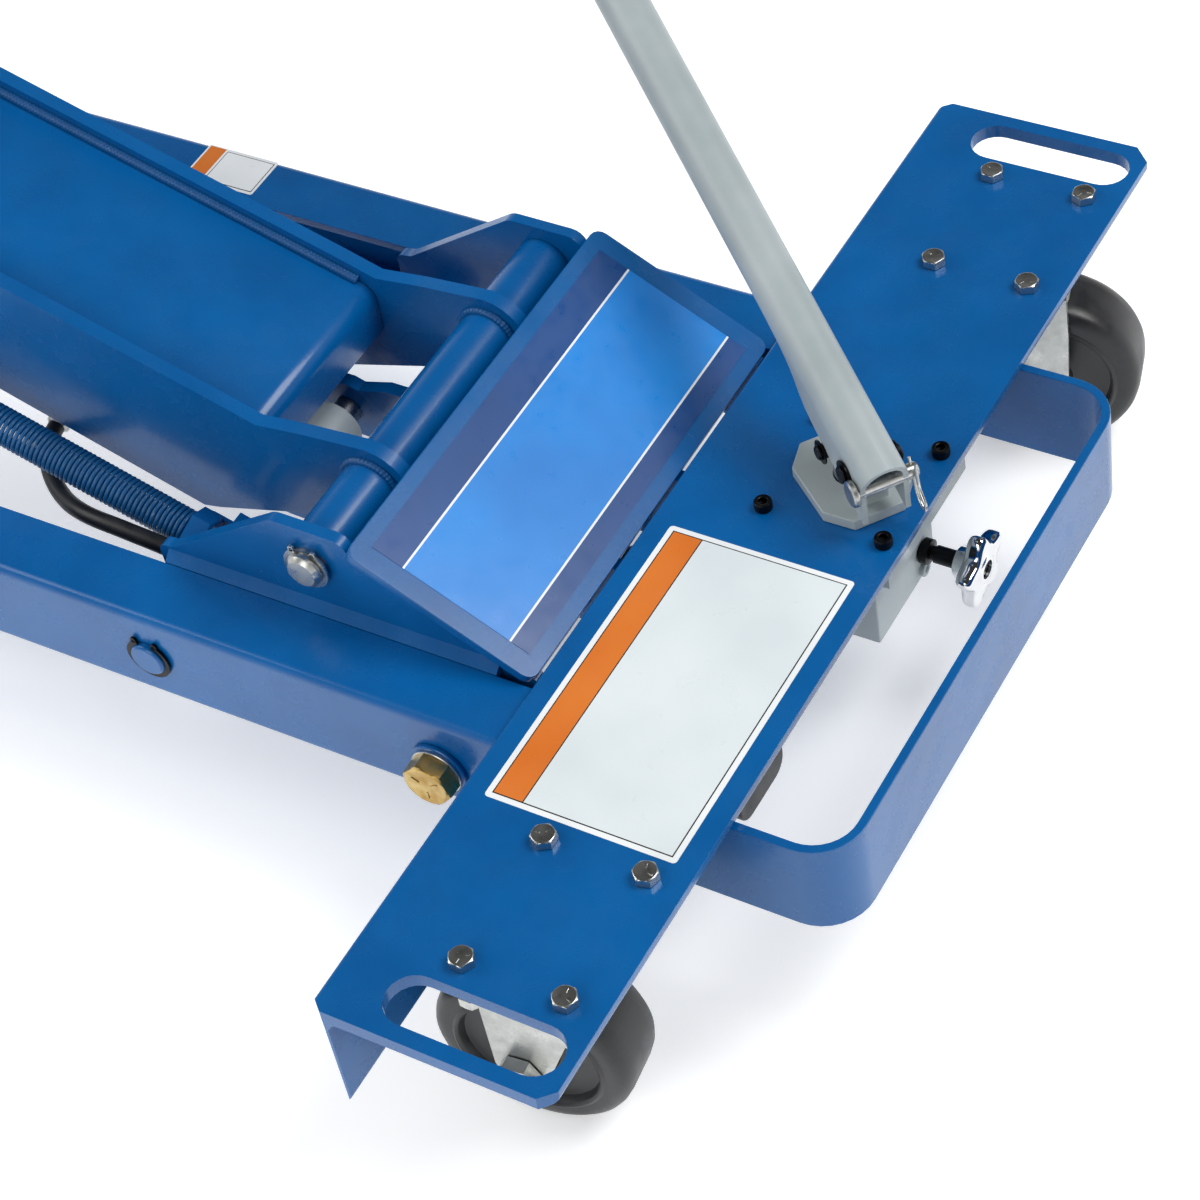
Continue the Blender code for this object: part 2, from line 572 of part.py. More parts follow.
# ---- head and saddle --------------------------------------------------------------------------
LINK_OFFSET = (RAM_BASE[0] - PIVOT[0], RAM_BASE[1] - PIVOT[1])
LINK_FRONT = (HEAD_PIN[0] + LINK_OFFSET[0], HEAD_PIN[1] + LINK_OFFSET[1])
SADDLE_PIN = (HEAD_PIN[0], HEAD_PIN[1] + SADDLE_RISE)


def head_and_saddle():
    """Bracket that stays level, its link, and the tilting saddle."""
    hy, hz = HEAD_PIN
    ly, lz = LINK_FRONT
    outline = [*arc((ly, lz), 20.0, 150.0, 300.0, 8), *arc((hy, hz), 26.0, -60.0, 0.0, 4), (hy + 26.0, hz + 60.0),
               *arc(SADDLE_PIN, 16.0, 0.0, 180.0, 8), (hy - 60.0, hz + 20.0)]
    bracket = prism("head_bracket", [outline], 10.0, side_frame(55.0), BLUE)
    combine(bracket, prism("head_cheek", [outline], 10.0, side_frame(-55.0), BLUE), "UNION")
    combine(bracket, block("head_web", (-52.0, hy - 46.0, hz - 26.0), (52.0, hy - 36.0, hz + 30.0), BLUE), "UNION")
    for place, radius in ((HEAD_PIN, HEAD_PIN_R), (LINK_FRONT, 10.0), (SADDLE_PIN, 8.0)):
        bore(bracket, (-70.0, *place), (70.0, *place), radius + GAP)
    rod("head_pin", (-ARM_OUT - 7.0, *HEAD_PIN), (ARM_OUT + 7.0, *HEAD_PIN), HEAD_PIN_R, ZINC, edge=2.0)

    run = Vector((0.0, LINK_FRONT[0] - RAM_BASE[0], LINK_FRONT[1] - RAM_BASE[1]))
    length, half = run.length, LINK_DEPTH / 2.0
    bar = [*arc((0.0, 0.0), half + 4.0, 90.0, 270.0, 8), *arc((length, 0.0), half + 4.0, -90.0, 90.0, 8)]
    holes = [circle((0.0, 0.0), RAIL_PIN_R + GAP), circle((length, 0.0), 10.0 + GAP)]
    prism("level_link", [bar, *holes], LINK_WALL, frame_at((LINK_X, *RAM_BASE), run, (0, -run.z, run.y)), BLUE)
    rod("level_link_pin", (LINK_X - 12.0, ly, lz), (64.0, ly, lz), 10.0, ZINC, edge=1.5)

    sx, sy, wall = SADDLE_SIZE
    sy_pin, sz_pin = SADDLE_PIN
    base = sz_pin + 20.0
    plate = prism("saddle", [rounded_rectangle((-sx / 2.0, sy_pin - sy / 2.0), (sx / 2.0, sy_pin + sy / 2.0), 14.0)],
                  wall, flat_frame(base + wall / 2.0), BLUE)
    lug = [*arc(SADDLE_PIN, 15.0, 180.0, 360.0, 8), (sy_pin + 15.0, base + 1.0), (sy_pin - 15.0, base + 1.0)]
    for sign in (1.0, -1.0):
        ear = prism("saddle_ear", [lug], 10.0, side_frame(sign * 44.0), BLUE)
        bore(ear, (sign * 35.0, *SADDLE_PIN), (sign * 53.0, *SADDLE_PIN), 8.0 + GAP)
        combine(plate, ear, "UNION")
    rod("saddle_pin", (-66.0, *SADDLE_PIN), (66.0, *SADDLE_PIN), 8.0, ZINC, edge=1.0)


# ---- ram --------------------------------------------------------------------------------------
def ram():
    base, top = Vector((0.0, *RAM_BASE)), Vector((0.0, *RAM_TOP))
    axis = (top - base).normalized()
    frame = along(base, top)
    start, end = 24.0, 24.0 + RAM_BODY_LENGTH
    body_r, rod_r = RAM_BODY_R, RAM_ROD_R
    profile = [(rod_r + GAP, end), (body_r - 2.0, end), (body_r, end - 2.0), (body_r, end - 22.0),
               (body_r - 2.0, end - 23.0), (body_r - 2.0, start), (0.0, start), (0.0, start + 14.0),
               (rod_r + GAP, start + 14.0)]
    cylinder = turned("ram_cylinder", profile, frame, GREY, 36, closed=True)
    eye = rod("ram_eye", (-20.0, *RAM_BASE), (20.0, *RAM_BASE), 20.0, GREY)
    neck = block("ram_neck", (-18.0, -18.0, 0.0), (18.0, 18.0, 30.0), GREY)
    neck.matrix_world = frame @ Matrix.Translation((0.0, 0.0, 15.0 * MM))
    combine(cylinder, eye, "UNION")
    combine(cylinder, neck, "UNION")
    bore(cylinder, (-25.0, *RAM_BASE), (25.0, *RAM_BASE), 10.0 + GAP)

    piston = rod("ram_rod", base + axis * (start + 16.0 + RAM_LOWERING), top - axis * 6.0, rod_r, CHROME)
    rod_eye = rod("rod_eye", (-18.0, *RAM_TOP), (18.0, *RAM_TOP), 19.0, STEEL)
    combine(piston, rod_eye, "UNION")
    bore(piston, (-22.0, *RAM_TOP), (22.0, *RAM_TOP), 10.0 + GAP)
    rod("ram_rod_pin", (-61.0, *RAM_TOP), (61.0, *RAM_TOP), 10.0, STEEL, edge=1.5)


# ---- return spring ----------------------------------------------------------------------------
SPRING_LINE = Vector((0.0, -math.cos(SPRING_SLOPE), math.sin(SPRING_SLOPE)))
SPRING_ANCHOR = Vector((SPRING_X, *SPRING_REAR))
SPRING_FRONT = (SPRING_ANCHOR + SPRING_LINE * SPRING_REACH).yz[:]


def return_spring():
    """Coil between two hexagon plugs, beside the left arm plate."""
    line, anchor = SPRING_LINE, SPRING_ANCHOR
    across = Vector((0.0, line.z, -line.y))
    plug_frame = frame_at(anchor, (1, 0, 0), -across)
    rear = prism("spring_plug_rear", [hexagon((0.0, 0.0), 24.0)], 12.0, plug_frame, BLUE)
    combine(rear, rod("plug_neck", anchor + line * 5.0, anchor + line * 24.0, SPRING_R - 3.4, BLUE), "UNION")
    bore(rear, anchor - Vector((20.0, 0.0, 0.0)), anchor + Vector((20.0, 0.0, 0.0)), 3.0 + GAP, 16)

    start, end = anchor + line * (6.0 + GAP), anchor + line * (SPRING_REACH - 36.0)
    coil = rod("return_spring", start, end, SPRING_R, STEEL)
    bore(coil, start - line * 10.0, end + line * 10.0, SPRING_R - 3.0)

    nose = anchor + line * (SPRING_REACH - 30.0 + GAP)
    front = prism("spring_plug_front", [hexagon((0.0, 0.0), 24.0)], 12.0, frame_at(nose, (1, 0, 0), -across), BLUE)
    combine(front, rod("plug_neck", nose - line * 5.0, nose - line * 24.0, SPRING_R - 3.4, BLUE), "UNION")
    stud = anchor + line * SPRING_REACH
    combine(front, rod("hook_neck", nose, stud - line * 12.0, 4.5, BLUE), "UNION")
    ring = [circle((0.0, 0.0), 15.0, 32), circle((0.0, 0.0), 9.0 + GAP)]
    combine(front, prism("hook_eye", ring, 10.0, frame_at(stud, line, across), BLUE), "UNION")

    behind = anchor - line * 22.0
    reach = GUSSET_OUT - GUSSET_WALL - GAP
    plate = [(-18.0, -20.0), (reach - SPRING_X, -20.0), (reach - SPRING_X, 20.0), (-18.0, 20.0)]
    guide = circle((HOSE_LANE - SPRING_X, 2.0), HOSE_R + 2.8)
    bracket = prism("spring_bracket", [plate, guide], 8.0, frame_at(behind, (1, 0, 0), across), BLUE)
    ear_frame = frame_at(anchor - Vector((15.8, 0, 0)), line, across)
    ear = prism("bracket_ear", [[(-20.0, -7.0), *arc((0.0, 0.0), 7.0, -90.0, 90.0, 6), (-20.0, 7.0)]], 3.0,
                ear_frame, BLUE)
    combine(bracket, ear, "UNION")


# ---- pump, release valve, reservoir, hose ----------------------------------------------------
HOSE_LANE = 130.0
HOSE_START = (PUMP[0] + 33.5, PUMP[1] - PUMP_BLOCK[1] / 2.0 - GAP, -62.0)


def pump():
    x, y = PUMP
    length, depth, height = PUMP_BLOCK
    top = -MEMBER_WALL - GAP
    flange_length, flange_depth, flange_wall = PUMP_FLANGE
    under = top - flange_wall
    body = block("pump_body", (x - length / 2.0, y - depth / 2.0, under - height), (x + length / 2.0, y + depth / 2.0,
                 under + 1.0), GREY, edge=2.0)
    flange = block("pump_flange", (x - flange_length / 2.0, y - flange_depth / 2.0, under),
                   (x + flange_length / 2.0, y + flange_depth / 2.0, top), GREY)
    combine(body, flange, "UNION")
    bore(body, (x, y, 10.0), (x, y, -86.0), PLUNGER_R + GAP)
    rear = y + depth / 2.0
    bore(body, (RELEASE[0], rear + 10.0, RELEASE[1]), (RELEASE[0], rear - 20.0, RELEASE[1]), RELEASE_ROD_R + GAP)

    rod("release_rod", (RELEASE[0], rear - 18.0, RELEASE[1]), (RELEASE[0], KNOB_FACE - 3.0, RELEASE[1]),
        RELEASE_ROD_R, BLACK_OXIDE, edge=0.8)
    lobes = []
    for i in range(60):
        turn = 2.0 * math.pi * i / 60
        radius = KNOB_R - 4.0 + 4.0 * math.cos(5.0 * turn)
        lobes.append((RELEASE[0] + radius * math.sin(turn), RELEASE[1] + radius * math.cos(turn)))
    knob = prism("star_knob", [lobes], KNOB_WIDTH, front_frame(KNOB_FACE - KNOB_WIDTH / 2.0), CHROME)
    hub = rod("knob_hub", (RELEASE[0], KNOB_FACE - KNOB_WIDTH + 1.0, RELEASE[1]),
              (RELEASE[0], KNOB_FACE - KNOB_WIDTH - 8.0, RELEASE[1]), 11.0, CHROME)
    combine(knob, hub, "UNION")
    bore(knob, (RELEASE[0], KNOB_FACE + 10.0, RELEASE[1]), (RELEASE[0], KNOB_FACE - 40.0, RELEASE[1]),
         RELEASE_ROD_R + GAP)

    tank = [*arc((150.0, top - 48.0), 12.0, 0.0, -90.0, 5), *arc((120.0, top - 48.0), 12.0, -90.0, -180.0, 5),
            (108.0, top), (162.0, top)]
    prism("oil_reservoir", [tank], 112.0, front_frame(0.5), PLASTIC)


def hose():
    """Pressure hose from the pump's front face, under the chassis, to the ram's port."""
    x, y, z = HOSE_START
    lane = HOSE_LANE
    route = [(x, y, z), (x, y - 30.0, z), (x, -74.0, z), (x, -100.0, -80.0), (x + 6.0, -128.0, -91.0),
             (x + 30.0, -160.0, -96.0), (40.0, -185.0, -97.0), (90.0, -205.0, -94.0), (122.0, -235.0, -82.0),
             (lane, -270.0, -66.0), (lane, -310.0, -51.0), (lane, -344.0, -40.8), (lane, -375.0, -32.5),
             (lane, -410.0, -29.0), (127.0, -445.0, -30.0), (115.0, -474.0, -36.0), (98.0, -497.0, -35.0),
             (80.0, -507.0, -28.0), (60.0, -510.0, -26.0), (41.0, -508.5, -20.0)]
    tube_along("hydraulic_hose", smooth(route, 3), HOSE_R, RUBBER)


# ---- socket and handle ------------------------------------------------------------------------
HEADING = Vector((math.sin(HANDLE_TURN), math.cos(HANDLE_TURN), 0.0))      # w, away from the handle
SIDEWAYS = Vector((-HEADING.y, HEADING.x, 0.0))                             # p, along the pins
PUMP_CENTRE = Vector((PUMP[0], PUMP[1], 0.0))
RISING = -HEADING * math.cos(HANDLE_RISE) + Vector((0, 0, 1)) * math.sin(HANDLE_RISE)


def in_socket(w, z, p=0.0):
    return PUMP_CENTRE + HEADING * w + SIDEWAYS * p + Vector((0.0, 0.0, z))


def socket_plane(p=0.0):
    """Drawing axes (w, z) of the socket, thickness along the pins."""
    return frame_at(PUMP_CENTRE + SIDEWAYS * p, HEADING, (0, 0, 1))


def cross_bore(node, place, radius):
    return bore(node, in_socket(*place, -40.0), in_socket(*place, 40.0), radius, 24)


def cross_pin(name, place, radius, half, material):
    return rod(name, in_socket(*place, -half), in_socket(*place, half), radius, material, segments=24, edge=0.8)


def socket_and_handle():
    octagon = [(39.0, -17.0), (39.0, 17.0), (22.0, 30.5), (-22.0, 30.5), (-39.0, 17.0), (-39.0, -17.0),
               (-22.0, -30.5), (22.0, -30.5)]
    flange = prism("socket_flange", [octagon, circle((0.0, 0.0), PLUNGER_R + 0.4)], 8.0,
                   frame_at(PUMP_CENTRE + Vector((0, 0, GAP + 4.0)), HEADING, SIDEWAYS), GREY)
    w, z = FULCRUM
    lug = [(13.5, 6.0), (30.0, 6.0), (30.0, z - 13.0), *arc((w, z), 9.7, -60.0, 180.0, 12), (13.5, 22.0)]
    combine(flange, prism("socket_lug", [lug], 22.0, socket_plane(), GREY), "UNION")
    cross_bore(flange, FULCRUM, FULCRUM_R + GAP)
    cross_pin("fulcrum_pin", FULCRUM, FULCRUM_R, 20.5, BLACK_OXIDE)

    plunger = rod("pump_plunger", in_socket(0.0, -75.0), in_socket(0.0, 20.0), PLUNGER_R, CHROME)
    head_outline = rounded_rectangle((-16.0, 17.0), (11.0, 44.0), 5.0)
    combine(plunger, prism("plunger_head", [head_outline], 18.0, socket_plane(), STEEL), "UNION")
    slot = rounded_rectangle((PLUNGER_PIN[0] - 8.0, PLUNGER_PIN[1] - 6.2), (12.0, PLUNGER_PIN[1] + 6.2), 5.0)
    combine(plunger, prism("plunger_slot", [slot], 60.0, socket_plane(), STEEL, cutter=True), "DIFFERENCE")
    cross_pin("plunger_pin", PLUNGER_PIN, SMALL_PIN_R, 20.5, BLACK_OXIDE)
    cross_pin("clevis_pin", CLEVIS_PIN, SMALL_PIN_R, 24.0, ZINC)

    rise = math.tan(HANDLE_RISE)
    crown = (56.0, 59.2)
    axis_start = in_socket(crown[0] - HANDLE_R * math.sin(HANDLE_RISE), crown[1] - HANDLE_R * math.cos(HANDLE_RISE))
    handle = rod("pump_handle", axis_start, axis_start + RISING * HANDLE_LENGTH, HANDLE_R, GREY, segments=32)
    w0, z0 = 42.8, 46.9

    def on_axis(w):
        return (w, z0 + (w0 - w) * rise)

    legs = [(55.0, 44.0), (52.0, 19.0), (-104.0, 80.6), on_axis(-104.0)]
    combine(handle, prism("handle_legs", [legs], 2.0 * HANDLE_R, socket_plane(), GREY), "UNION")
    inner = HANDLE_R - HANDLE_WALL
    mouth = [(66.0, 39.0), (66.0, -20.0), (-62.0, -20.0), on_axis(-70.0)]
    combine(handle, prism("handle_mouth", [mouth], 2.0 * inner, socket_plane(), GREY, cutter=True), "DIFFERENCE")
    bore(handle, axis_start - RISING * 30.0, axis_start + RISING * (HANDLE_LENGTH + 20.0), inner, 32)
    cross_bore(handle, FULCRUM, FULCRUM_R + GAP)
    cross_bore(handle, PLUNGER_PIN, SMALL_PIN_R + GAP)
    cross_bore(handle, CLEVIS_PIN, SMALL_PIN_R + GAP)

    tip = axis_start + RISING * (HANDLE_LENGTH + 4.0)
    grip = rod("handle_grip", tip - RISING * GRIP_LENGTH, tip, HANDLE_R + 3.5, RUBBER, segments=32, edge=2.0)
    bore(grip, tip - RISING * (GRIP_LENGTH + 10.0), tip - RISING * 3.7, HANDLE_R + GAP, 32)


def stand_on_floor():
    """Moves the frame so that the bottom centre of the whole jack is at the origin."""
    bpy.context.view_layer.update()
    deps = bpy.context.evaluated_depsgraph_get()
    points = []
    for node in parts.objects:
        if node.type not in {"MESH", "CURVE"}:
            continue
        shape = node.evaluated_get(deps)
        mesh = shape.to_mesh()
        points += [shape.matrix_world @ v.co for v in mesh.vertices]
        shape.to_mesh_clear()
    low = [min(p[i] for p in points) for i in range(3)]
    high = [max(p[i] for p in points) for i in range(3)]
    jack_frame.location = (-(low[0] + high[0]) / 2.0, -(low[1] + high[1]) / 2.0, -low[2])
    bpy.context.view_layer.update()


for make in (rear_cross_member, side_rails, rear_guard_loop, gussets, cover_plate, ram_cradle, rail_hardware,
             front_end, casters, arm_plates, arm_top_plate, pivot, head_and_saddle, ram, return_spring, pump, hose,
             socket_and_handle, stand_on_floor):
    make()
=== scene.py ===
"""Looks of a low hydraulic lift jack on casters.

Shapes are drawn in millimetres in the jack's own frame: X across, Y from the front wheels (minus) to the pump end
(plus), Z up, with the origin on top of the rear cross member at its middle.
"""
import json
import math

import bmesh
import bpy
from mathutils import Matrix, Vector

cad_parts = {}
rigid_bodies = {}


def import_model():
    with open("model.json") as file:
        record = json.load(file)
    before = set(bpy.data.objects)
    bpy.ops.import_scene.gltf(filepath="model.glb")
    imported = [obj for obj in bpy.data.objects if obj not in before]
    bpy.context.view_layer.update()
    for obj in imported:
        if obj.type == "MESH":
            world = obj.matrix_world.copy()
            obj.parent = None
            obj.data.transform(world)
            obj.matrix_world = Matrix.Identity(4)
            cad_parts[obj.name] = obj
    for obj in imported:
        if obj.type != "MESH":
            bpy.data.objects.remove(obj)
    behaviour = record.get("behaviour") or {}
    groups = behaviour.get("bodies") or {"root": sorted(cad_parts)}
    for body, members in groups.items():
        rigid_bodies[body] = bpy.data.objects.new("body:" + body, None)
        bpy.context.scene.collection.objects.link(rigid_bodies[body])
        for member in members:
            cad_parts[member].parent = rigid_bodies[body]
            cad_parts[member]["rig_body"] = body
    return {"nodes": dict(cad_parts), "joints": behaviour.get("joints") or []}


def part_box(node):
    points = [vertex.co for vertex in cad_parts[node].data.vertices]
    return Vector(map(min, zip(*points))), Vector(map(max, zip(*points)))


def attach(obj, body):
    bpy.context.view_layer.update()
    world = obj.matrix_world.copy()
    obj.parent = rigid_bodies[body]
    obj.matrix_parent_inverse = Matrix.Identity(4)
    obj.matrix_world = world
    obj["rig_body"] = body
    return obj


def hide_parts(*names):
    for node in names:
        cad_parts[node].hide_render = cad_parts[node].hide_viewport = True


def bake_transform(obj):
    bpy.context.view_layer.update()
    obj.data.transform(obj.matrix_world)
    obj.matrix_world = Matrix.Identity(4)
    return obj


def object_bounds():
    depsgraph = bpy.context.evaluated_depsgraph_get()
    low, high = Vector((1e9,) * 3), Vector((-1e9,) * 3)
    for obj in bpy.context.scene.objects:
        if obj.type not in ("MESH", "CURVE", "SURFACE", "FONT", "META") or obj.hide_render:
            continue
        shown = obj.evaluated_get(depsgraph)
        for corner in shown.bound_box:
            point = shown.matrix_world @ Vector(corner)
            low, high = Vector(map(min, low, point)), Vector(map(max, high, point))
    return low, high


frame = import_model()
CAD_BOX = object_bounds()

MM = 0.001
member_low, member_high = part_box("rear_cross_member")
JACK_ORIGIN = Vector(((member_low.x + member_high.x) / 2, (member_low.y + member_high.y) / 2, member_high.z))
TO_ROW = Matrix.Translation(JACK_ORIGIN) @ Matrix.Scale(MM, 4)
TO_JACK = TO_ROW.inverted()
SIDES = (("left", 1.0), ("right", -1.0))


def box(node):
    """Lowest and highest corner of a CAD node, in the jack's millimetres."""
    low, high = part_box(node)
    return TO_JACK @ low, TO_JACK @ high


def middle(node):
    low, high = box(node)
    return (low + high) / 2


# ---- camera, light and floor -------------------------------------------------------------------
CAMERA_AT = (1113.9, 716.5, 1397.3)
CAMERA_AZIMUTH, CAMERA_ELEVATION, CAMERA_ROLL = map(math.radians, (127.55, 47.15, -11.35))


def camera():
    made = bpy.data.objects.new("camera", bpy.data.cameras.new("camera"))
    bpy.context.scene.collection.objects.link(made)
    made.data.lens, made.data.sensor_width = 94.4, 36.0
    back = Vector((math.sin(CAMERA_AZIMUTH) * math.cos(CAMERA_ELEVATION),
                   -math.cos(CAMERA_AZIMUTH) * math.cos(CAMERA_ELEVATION), math.sin(CAMERA_ELEVATION)))
    turn = (-back).to_track_quat("-Z", "Y").to_matrix().to_4x4()
    made.matrix_world = (Matrix.Translation(TO_ROW @ Vector(CAMERA_AT)) @ turn
                         @ Matrix.Rotation(CAMERA_ROLL, 4, "Z"))
    made.data.clip_start, made.data.clip_end = 0.05, 40.0
    bpy.context.scene.camera = made


def soft_box(name, place, aim, size, watts):
    light = bpy.data.lights.new(name, "AREA")
    light.shape, light.size, light.energy = "SQUARE", size, watts
    made = bpy.data.objects.new(name, light)
    bpy.context.scene.collection.objects.link(made)
    made.location = TO_ROW @ Vector(place)
    made.rotation_euler = (TO_ROW @ Vector(aim) - made.location).to_track_quat("-Z", "Y").to_euler()


SKY_GLOW, WALL_GLOW, CEILING_GLOW = 0.46, 0.75, 0.04


def studio():
    world = bpy.data.worlds.new("studio")
    world.use_nodes = True
    tree = world.node_tree
    sky = tree.nodes["Background"]
    sky.inputs["Color"].default_value = (1.0, 1.0, 1.0, 1.0)
    # Reflections see a dark ceiling over bright walls; everything else sees an even sky.
    ray = add_node(tree, "ShaderNodeLightPath").outputs["Is Glossy Ray"]
    heading = add_node(tree, "ShaderNodeTexCoord").outputs["Generated"]
    height = add_node(tree, "ShaderNodeSeparateXYZ", {"Vector": heading}).outputs["Z"]
    walls = ramp(tree, height, 0.15, 0.6, WALL_GLOW, CEILING_GLOW)
    glow = add_node(tree, "ShaderNodeMix", {0: ray, 2: SKY_GLOW, 3: walls}, data_type="FLOAT")
    tree.links.new(glow.outputs[0], sky.inputs["Strength"])
    bpy.context.scene.world = world
    centre = (0.0, -150.0, 0.0)
    soft_box("key_light", (-900.0, 1500.0, 2600.0), centre, 1.6, 62.0)
    soft_box("front_light", (900.0, -2600.0, 1900.0), centre, 1.8, 30.0)
    soft_box("side_light", (2400.0, -300.0, 1200.0), centre, 1.2, 14.0)
    bpy.context.scene.view_settings.view_transform = "Standard"


def floor():
    mesh = bpy.data.meshes.new("floor")
    half = 6.0
    mesh.from_pydata([(-half, -half, 0), (half, -half, 0), (half, half, 0), (-half, half, 0)], [], [(0, 1, 2, 3)])
    made = bpy.data.objects.new("floor", mesh)
    made.location.z = CAD_BOX[0].z - 0.0005
    bpy.context.scene.collection.objects.link(made)
    made.data.materials.append(studio_paper())


# ---- material helpers --------------------------------------------------------------------------
def linear(code):
    """Linear colour of an sRGB hex value."""
    parts = [int(code[i:i + 2], 16) / 255 for i in (1, 3, 5)]
    return (*(c / 12.92 if c <= 0.04045 else ((c + 0.055) / 1.055) ** 2.4 for c in parts), 1.0)


def add_node(tree, kind, inputs=None, **settings):
    """One node with its settings, and its inputs set to values or linked to sockets."""
    made = tree.nodes.new(kind)
    for key, value in settings.items():
        setattr(made, key, value)
    for key, value in (inputs or {}).items():
        if isinstance(value, bpy.types.NodeSocket):
            tree.links.new(value, made.inputs[key])
        else:
            made.inputs[key].default_value = value
    return made


def new_material(name, **sockets):
    """(material, tree, shader, object coordinates) with the shader's own sockets set."""
    material = bpy.data.materials.new(name)
    material.use_nodes = True
    tree = material.node_tree
    shader = tree.nodes["Principled BSDF"]
    for key, value in sockets.items():
        shader.inputs[key.replace("_", " ")].default_value = value
    coords = add_node(tree, "ShaderNodeTexCoord").outputs["Object"]
    return material, tree, shader, coords


def per_metre(size_mm):
    """Noise scale that gives features of that size."""
    return 1.0 / (size_mm * MM)


def noise(tree, coords, size_mm, detail=3.0, roughness=0.5):
    return add_node(tree, "ShaderNodeTexNoise", {"Vector": coords, "Scale": per_metre(size_mm), "Detail": detail,
                                                 "Roughness": roughness}).outputs["Fac"]


def ramp(tree, value, low, high, out_low, out_high):
    return add_node(tree, "ShaderNodeMapRange", {"Value": value, "From Min": low, "From Max": high,
                                                 "To Min": out_low, "To Max": out_high}).outputs["Result"]


def mixed(tree, amount, first, second):
    """Colour between two hex colours or sockets."""
    made = add_node(tree, "ShaderNodeMix", data_type="RGBA")
    for index, value in ((6, first), (7, second)):
        if isinstance(value, bpy.types.NodeSocket):
            tree.links.new(value, made.inputs[index])
        else:
            made.inputs[index].default_value = linear(value)
    tree.links.new(amount, made.inputs[0])
    return made.outputs[2]


def bump(tree, shader, height, strength, depth_mm):
    made = add_node(tree, "ShaderNodeBump", {"Height": height, "Strength": strength, "Distance": depth_mm * MM})
    tree.links.new(made.outputs["Normal"], shader.inputs["Normal"])


def coated(name, base, shade, chip, gloss, worn, orange_peel_mm=4.0, chips=0.72, coat=0.35):
    """Sprayed paint: slow colour drift, orange peel, and small rubbed spots that show a paler tone."""
    material, tree, shader, coords = new_material(name, IOR=1.5, Specular_IOR_Level=0.4, Coat_Weight=coat,
                                                  Coat_Roughness=0.08)
    drift = ramp(tree, noise(tree, coords, 70.0, 4.0), 0.35, 0.68, 0.0, 1.0)
    colour = mixed(tree, drift, base, shade)
    specks = ramp(tree, noise(tree, coords, 5.0, 6.0, 0.75), chips, chips + 0.05, 0.0, 0.55)
    colour = mixed(tree, specks, colour, chip)
    tree.links.new(colour, shader.inputs["Base Color"])
    tree.links.new(ramp(tree, noise(tree, coords, 28.0, 5.0, 0.6), 0.3, 0.75, gloss, worn), shader.inputs["Roughness"])
    bump(tree, shader, noise(tree, coords, orange_peel_mm, 2.0), 0.25, 0.12)
    return material


def plated(name, base, shade, gloss, worn, grain_mm=1.6, depth=0.05, patch_mm=14.0):
    """Bare or plated metal: cloudy patches of tone and roughness, and a fine grain."""
    material, tree, shader, coords = new_material(name, Metallic=1.0)
    patches = ramp(tree, noise(tree, coords, patch_mm, 5.0, 0.6), 0.32, 0.7, 0.0, 1.0)
    tree.links.new(mixed(tree, patches, base, shade), shader.inputs["Base Color"])
    tree.links.new(ramp(tree, patches, 0.0, 1.0, gloss, worn), shader.inputs["Roughness"])
    bump(tree, shader, noise(tree, coords, grain_mm, 4.0, 0.6), 0.3, depth)
    return material


def moulded(name, base, shade, gloss, worn, grain_mm, depth):
    """Rubber or plastic: dusty bloom over a dark base, with a pebbled skin."""
    material, tree, shader, coords = new_material(name, IOR=1.5)
    bloom = ramp(tree, noise(tree, coords, 22.0, 6.0, 0.65), 0.4, 0.75, 0.0, 1.0)
    tree.links.new(mixed(tree, bloom, base, shade), shader.inputs["Base Color"])
    tree.links.new(ramp(tree, bloom, 0.0, 1.0, gloss, worn), shader.inputs["Roughness"])
    bump(tree, shader, noise(tree, coords, grain_mm, 3.0), 0.3, depth)
    return material


def printed(name, base, shade, gloss=0.32):
    """Screen-printed vinyl under a clear film: an even colour with a faint halftone drift."""
    material, tree, shader, coords = new_material(name, IOR=1.45, Coat_Weight=0.3, Coat_Roughness=0.12)
    drift = ramp(tree, noise(tree, coords, 90.0, 2.0), 0.35, 0.65, 0.0, 1.0)
    tree.links.new(mixed(tree, drift, base, shade), shader.inputs["Base Color"])
    tree.links.new(ramp(tree, noise(tree, coords, 12.0, 4.0), 0.3, 0.7, gloss - 0.06, gloss + 0.1),
                   shader.inputs["Roughness"])
    bump(tree, shader, noise(tree, coords, 6.0, 2.0), 0.08, 0.03)
    return material


def studio_paper():
    """Seamless white paper: matt, with a barely visible tooth."""
    material, tree, shader, coords = new_material("studio_paper", Roughness=0.95, Base_Color=linear("#F7F8F8"),
                                                   Emission_Color=linear("#FFFFFF"), Emission_Strength=0.36)
    bump(tree, shader, noise(tree, coords, 2.0, 2.0), 0.05, 0.05)
    return material


# ---- the jack's finishes -----------------------------------------------------------------------
# Stoved gloss enamel over hot-rolled plate: deep blue, slightly wavy reflections, a few rubbed spots.
BLUE_ENAMEL = coated("stoved_blue_enamel", "#005C9E", "#005392", "#3F78A8", 0.22, 0.32, chips=0.8, coat=0.15)
# The same enamel brushed over weld metal: duller, in the weld's ripples, and a darker blue that paints in the shade of
# the corners the beads fill.
SHADED_WELD_ENAMEL = coated("blue_enamel_on_weld_painted_shade", "#00528E", "#00447A", "#2F70A4", 0.32, 0.5, orange_peel_mm=2.0, coat=0.1)
# Air-dried grey paint on the handle and pump: satin, with dark scuffs.
GREY_PAINT = coated("air_dried_grey_paint", "#A9B3B5", "#98A3A6", "#6E777A", 0.34, 0.52, chips=0.74, coat=0.12)
# Bright zinc plate on bolts, pins and casters.
ZINC = plated("bright_zinc_plate", "#CFD0CC", "#AEB0AD", 0.22, 0.42)
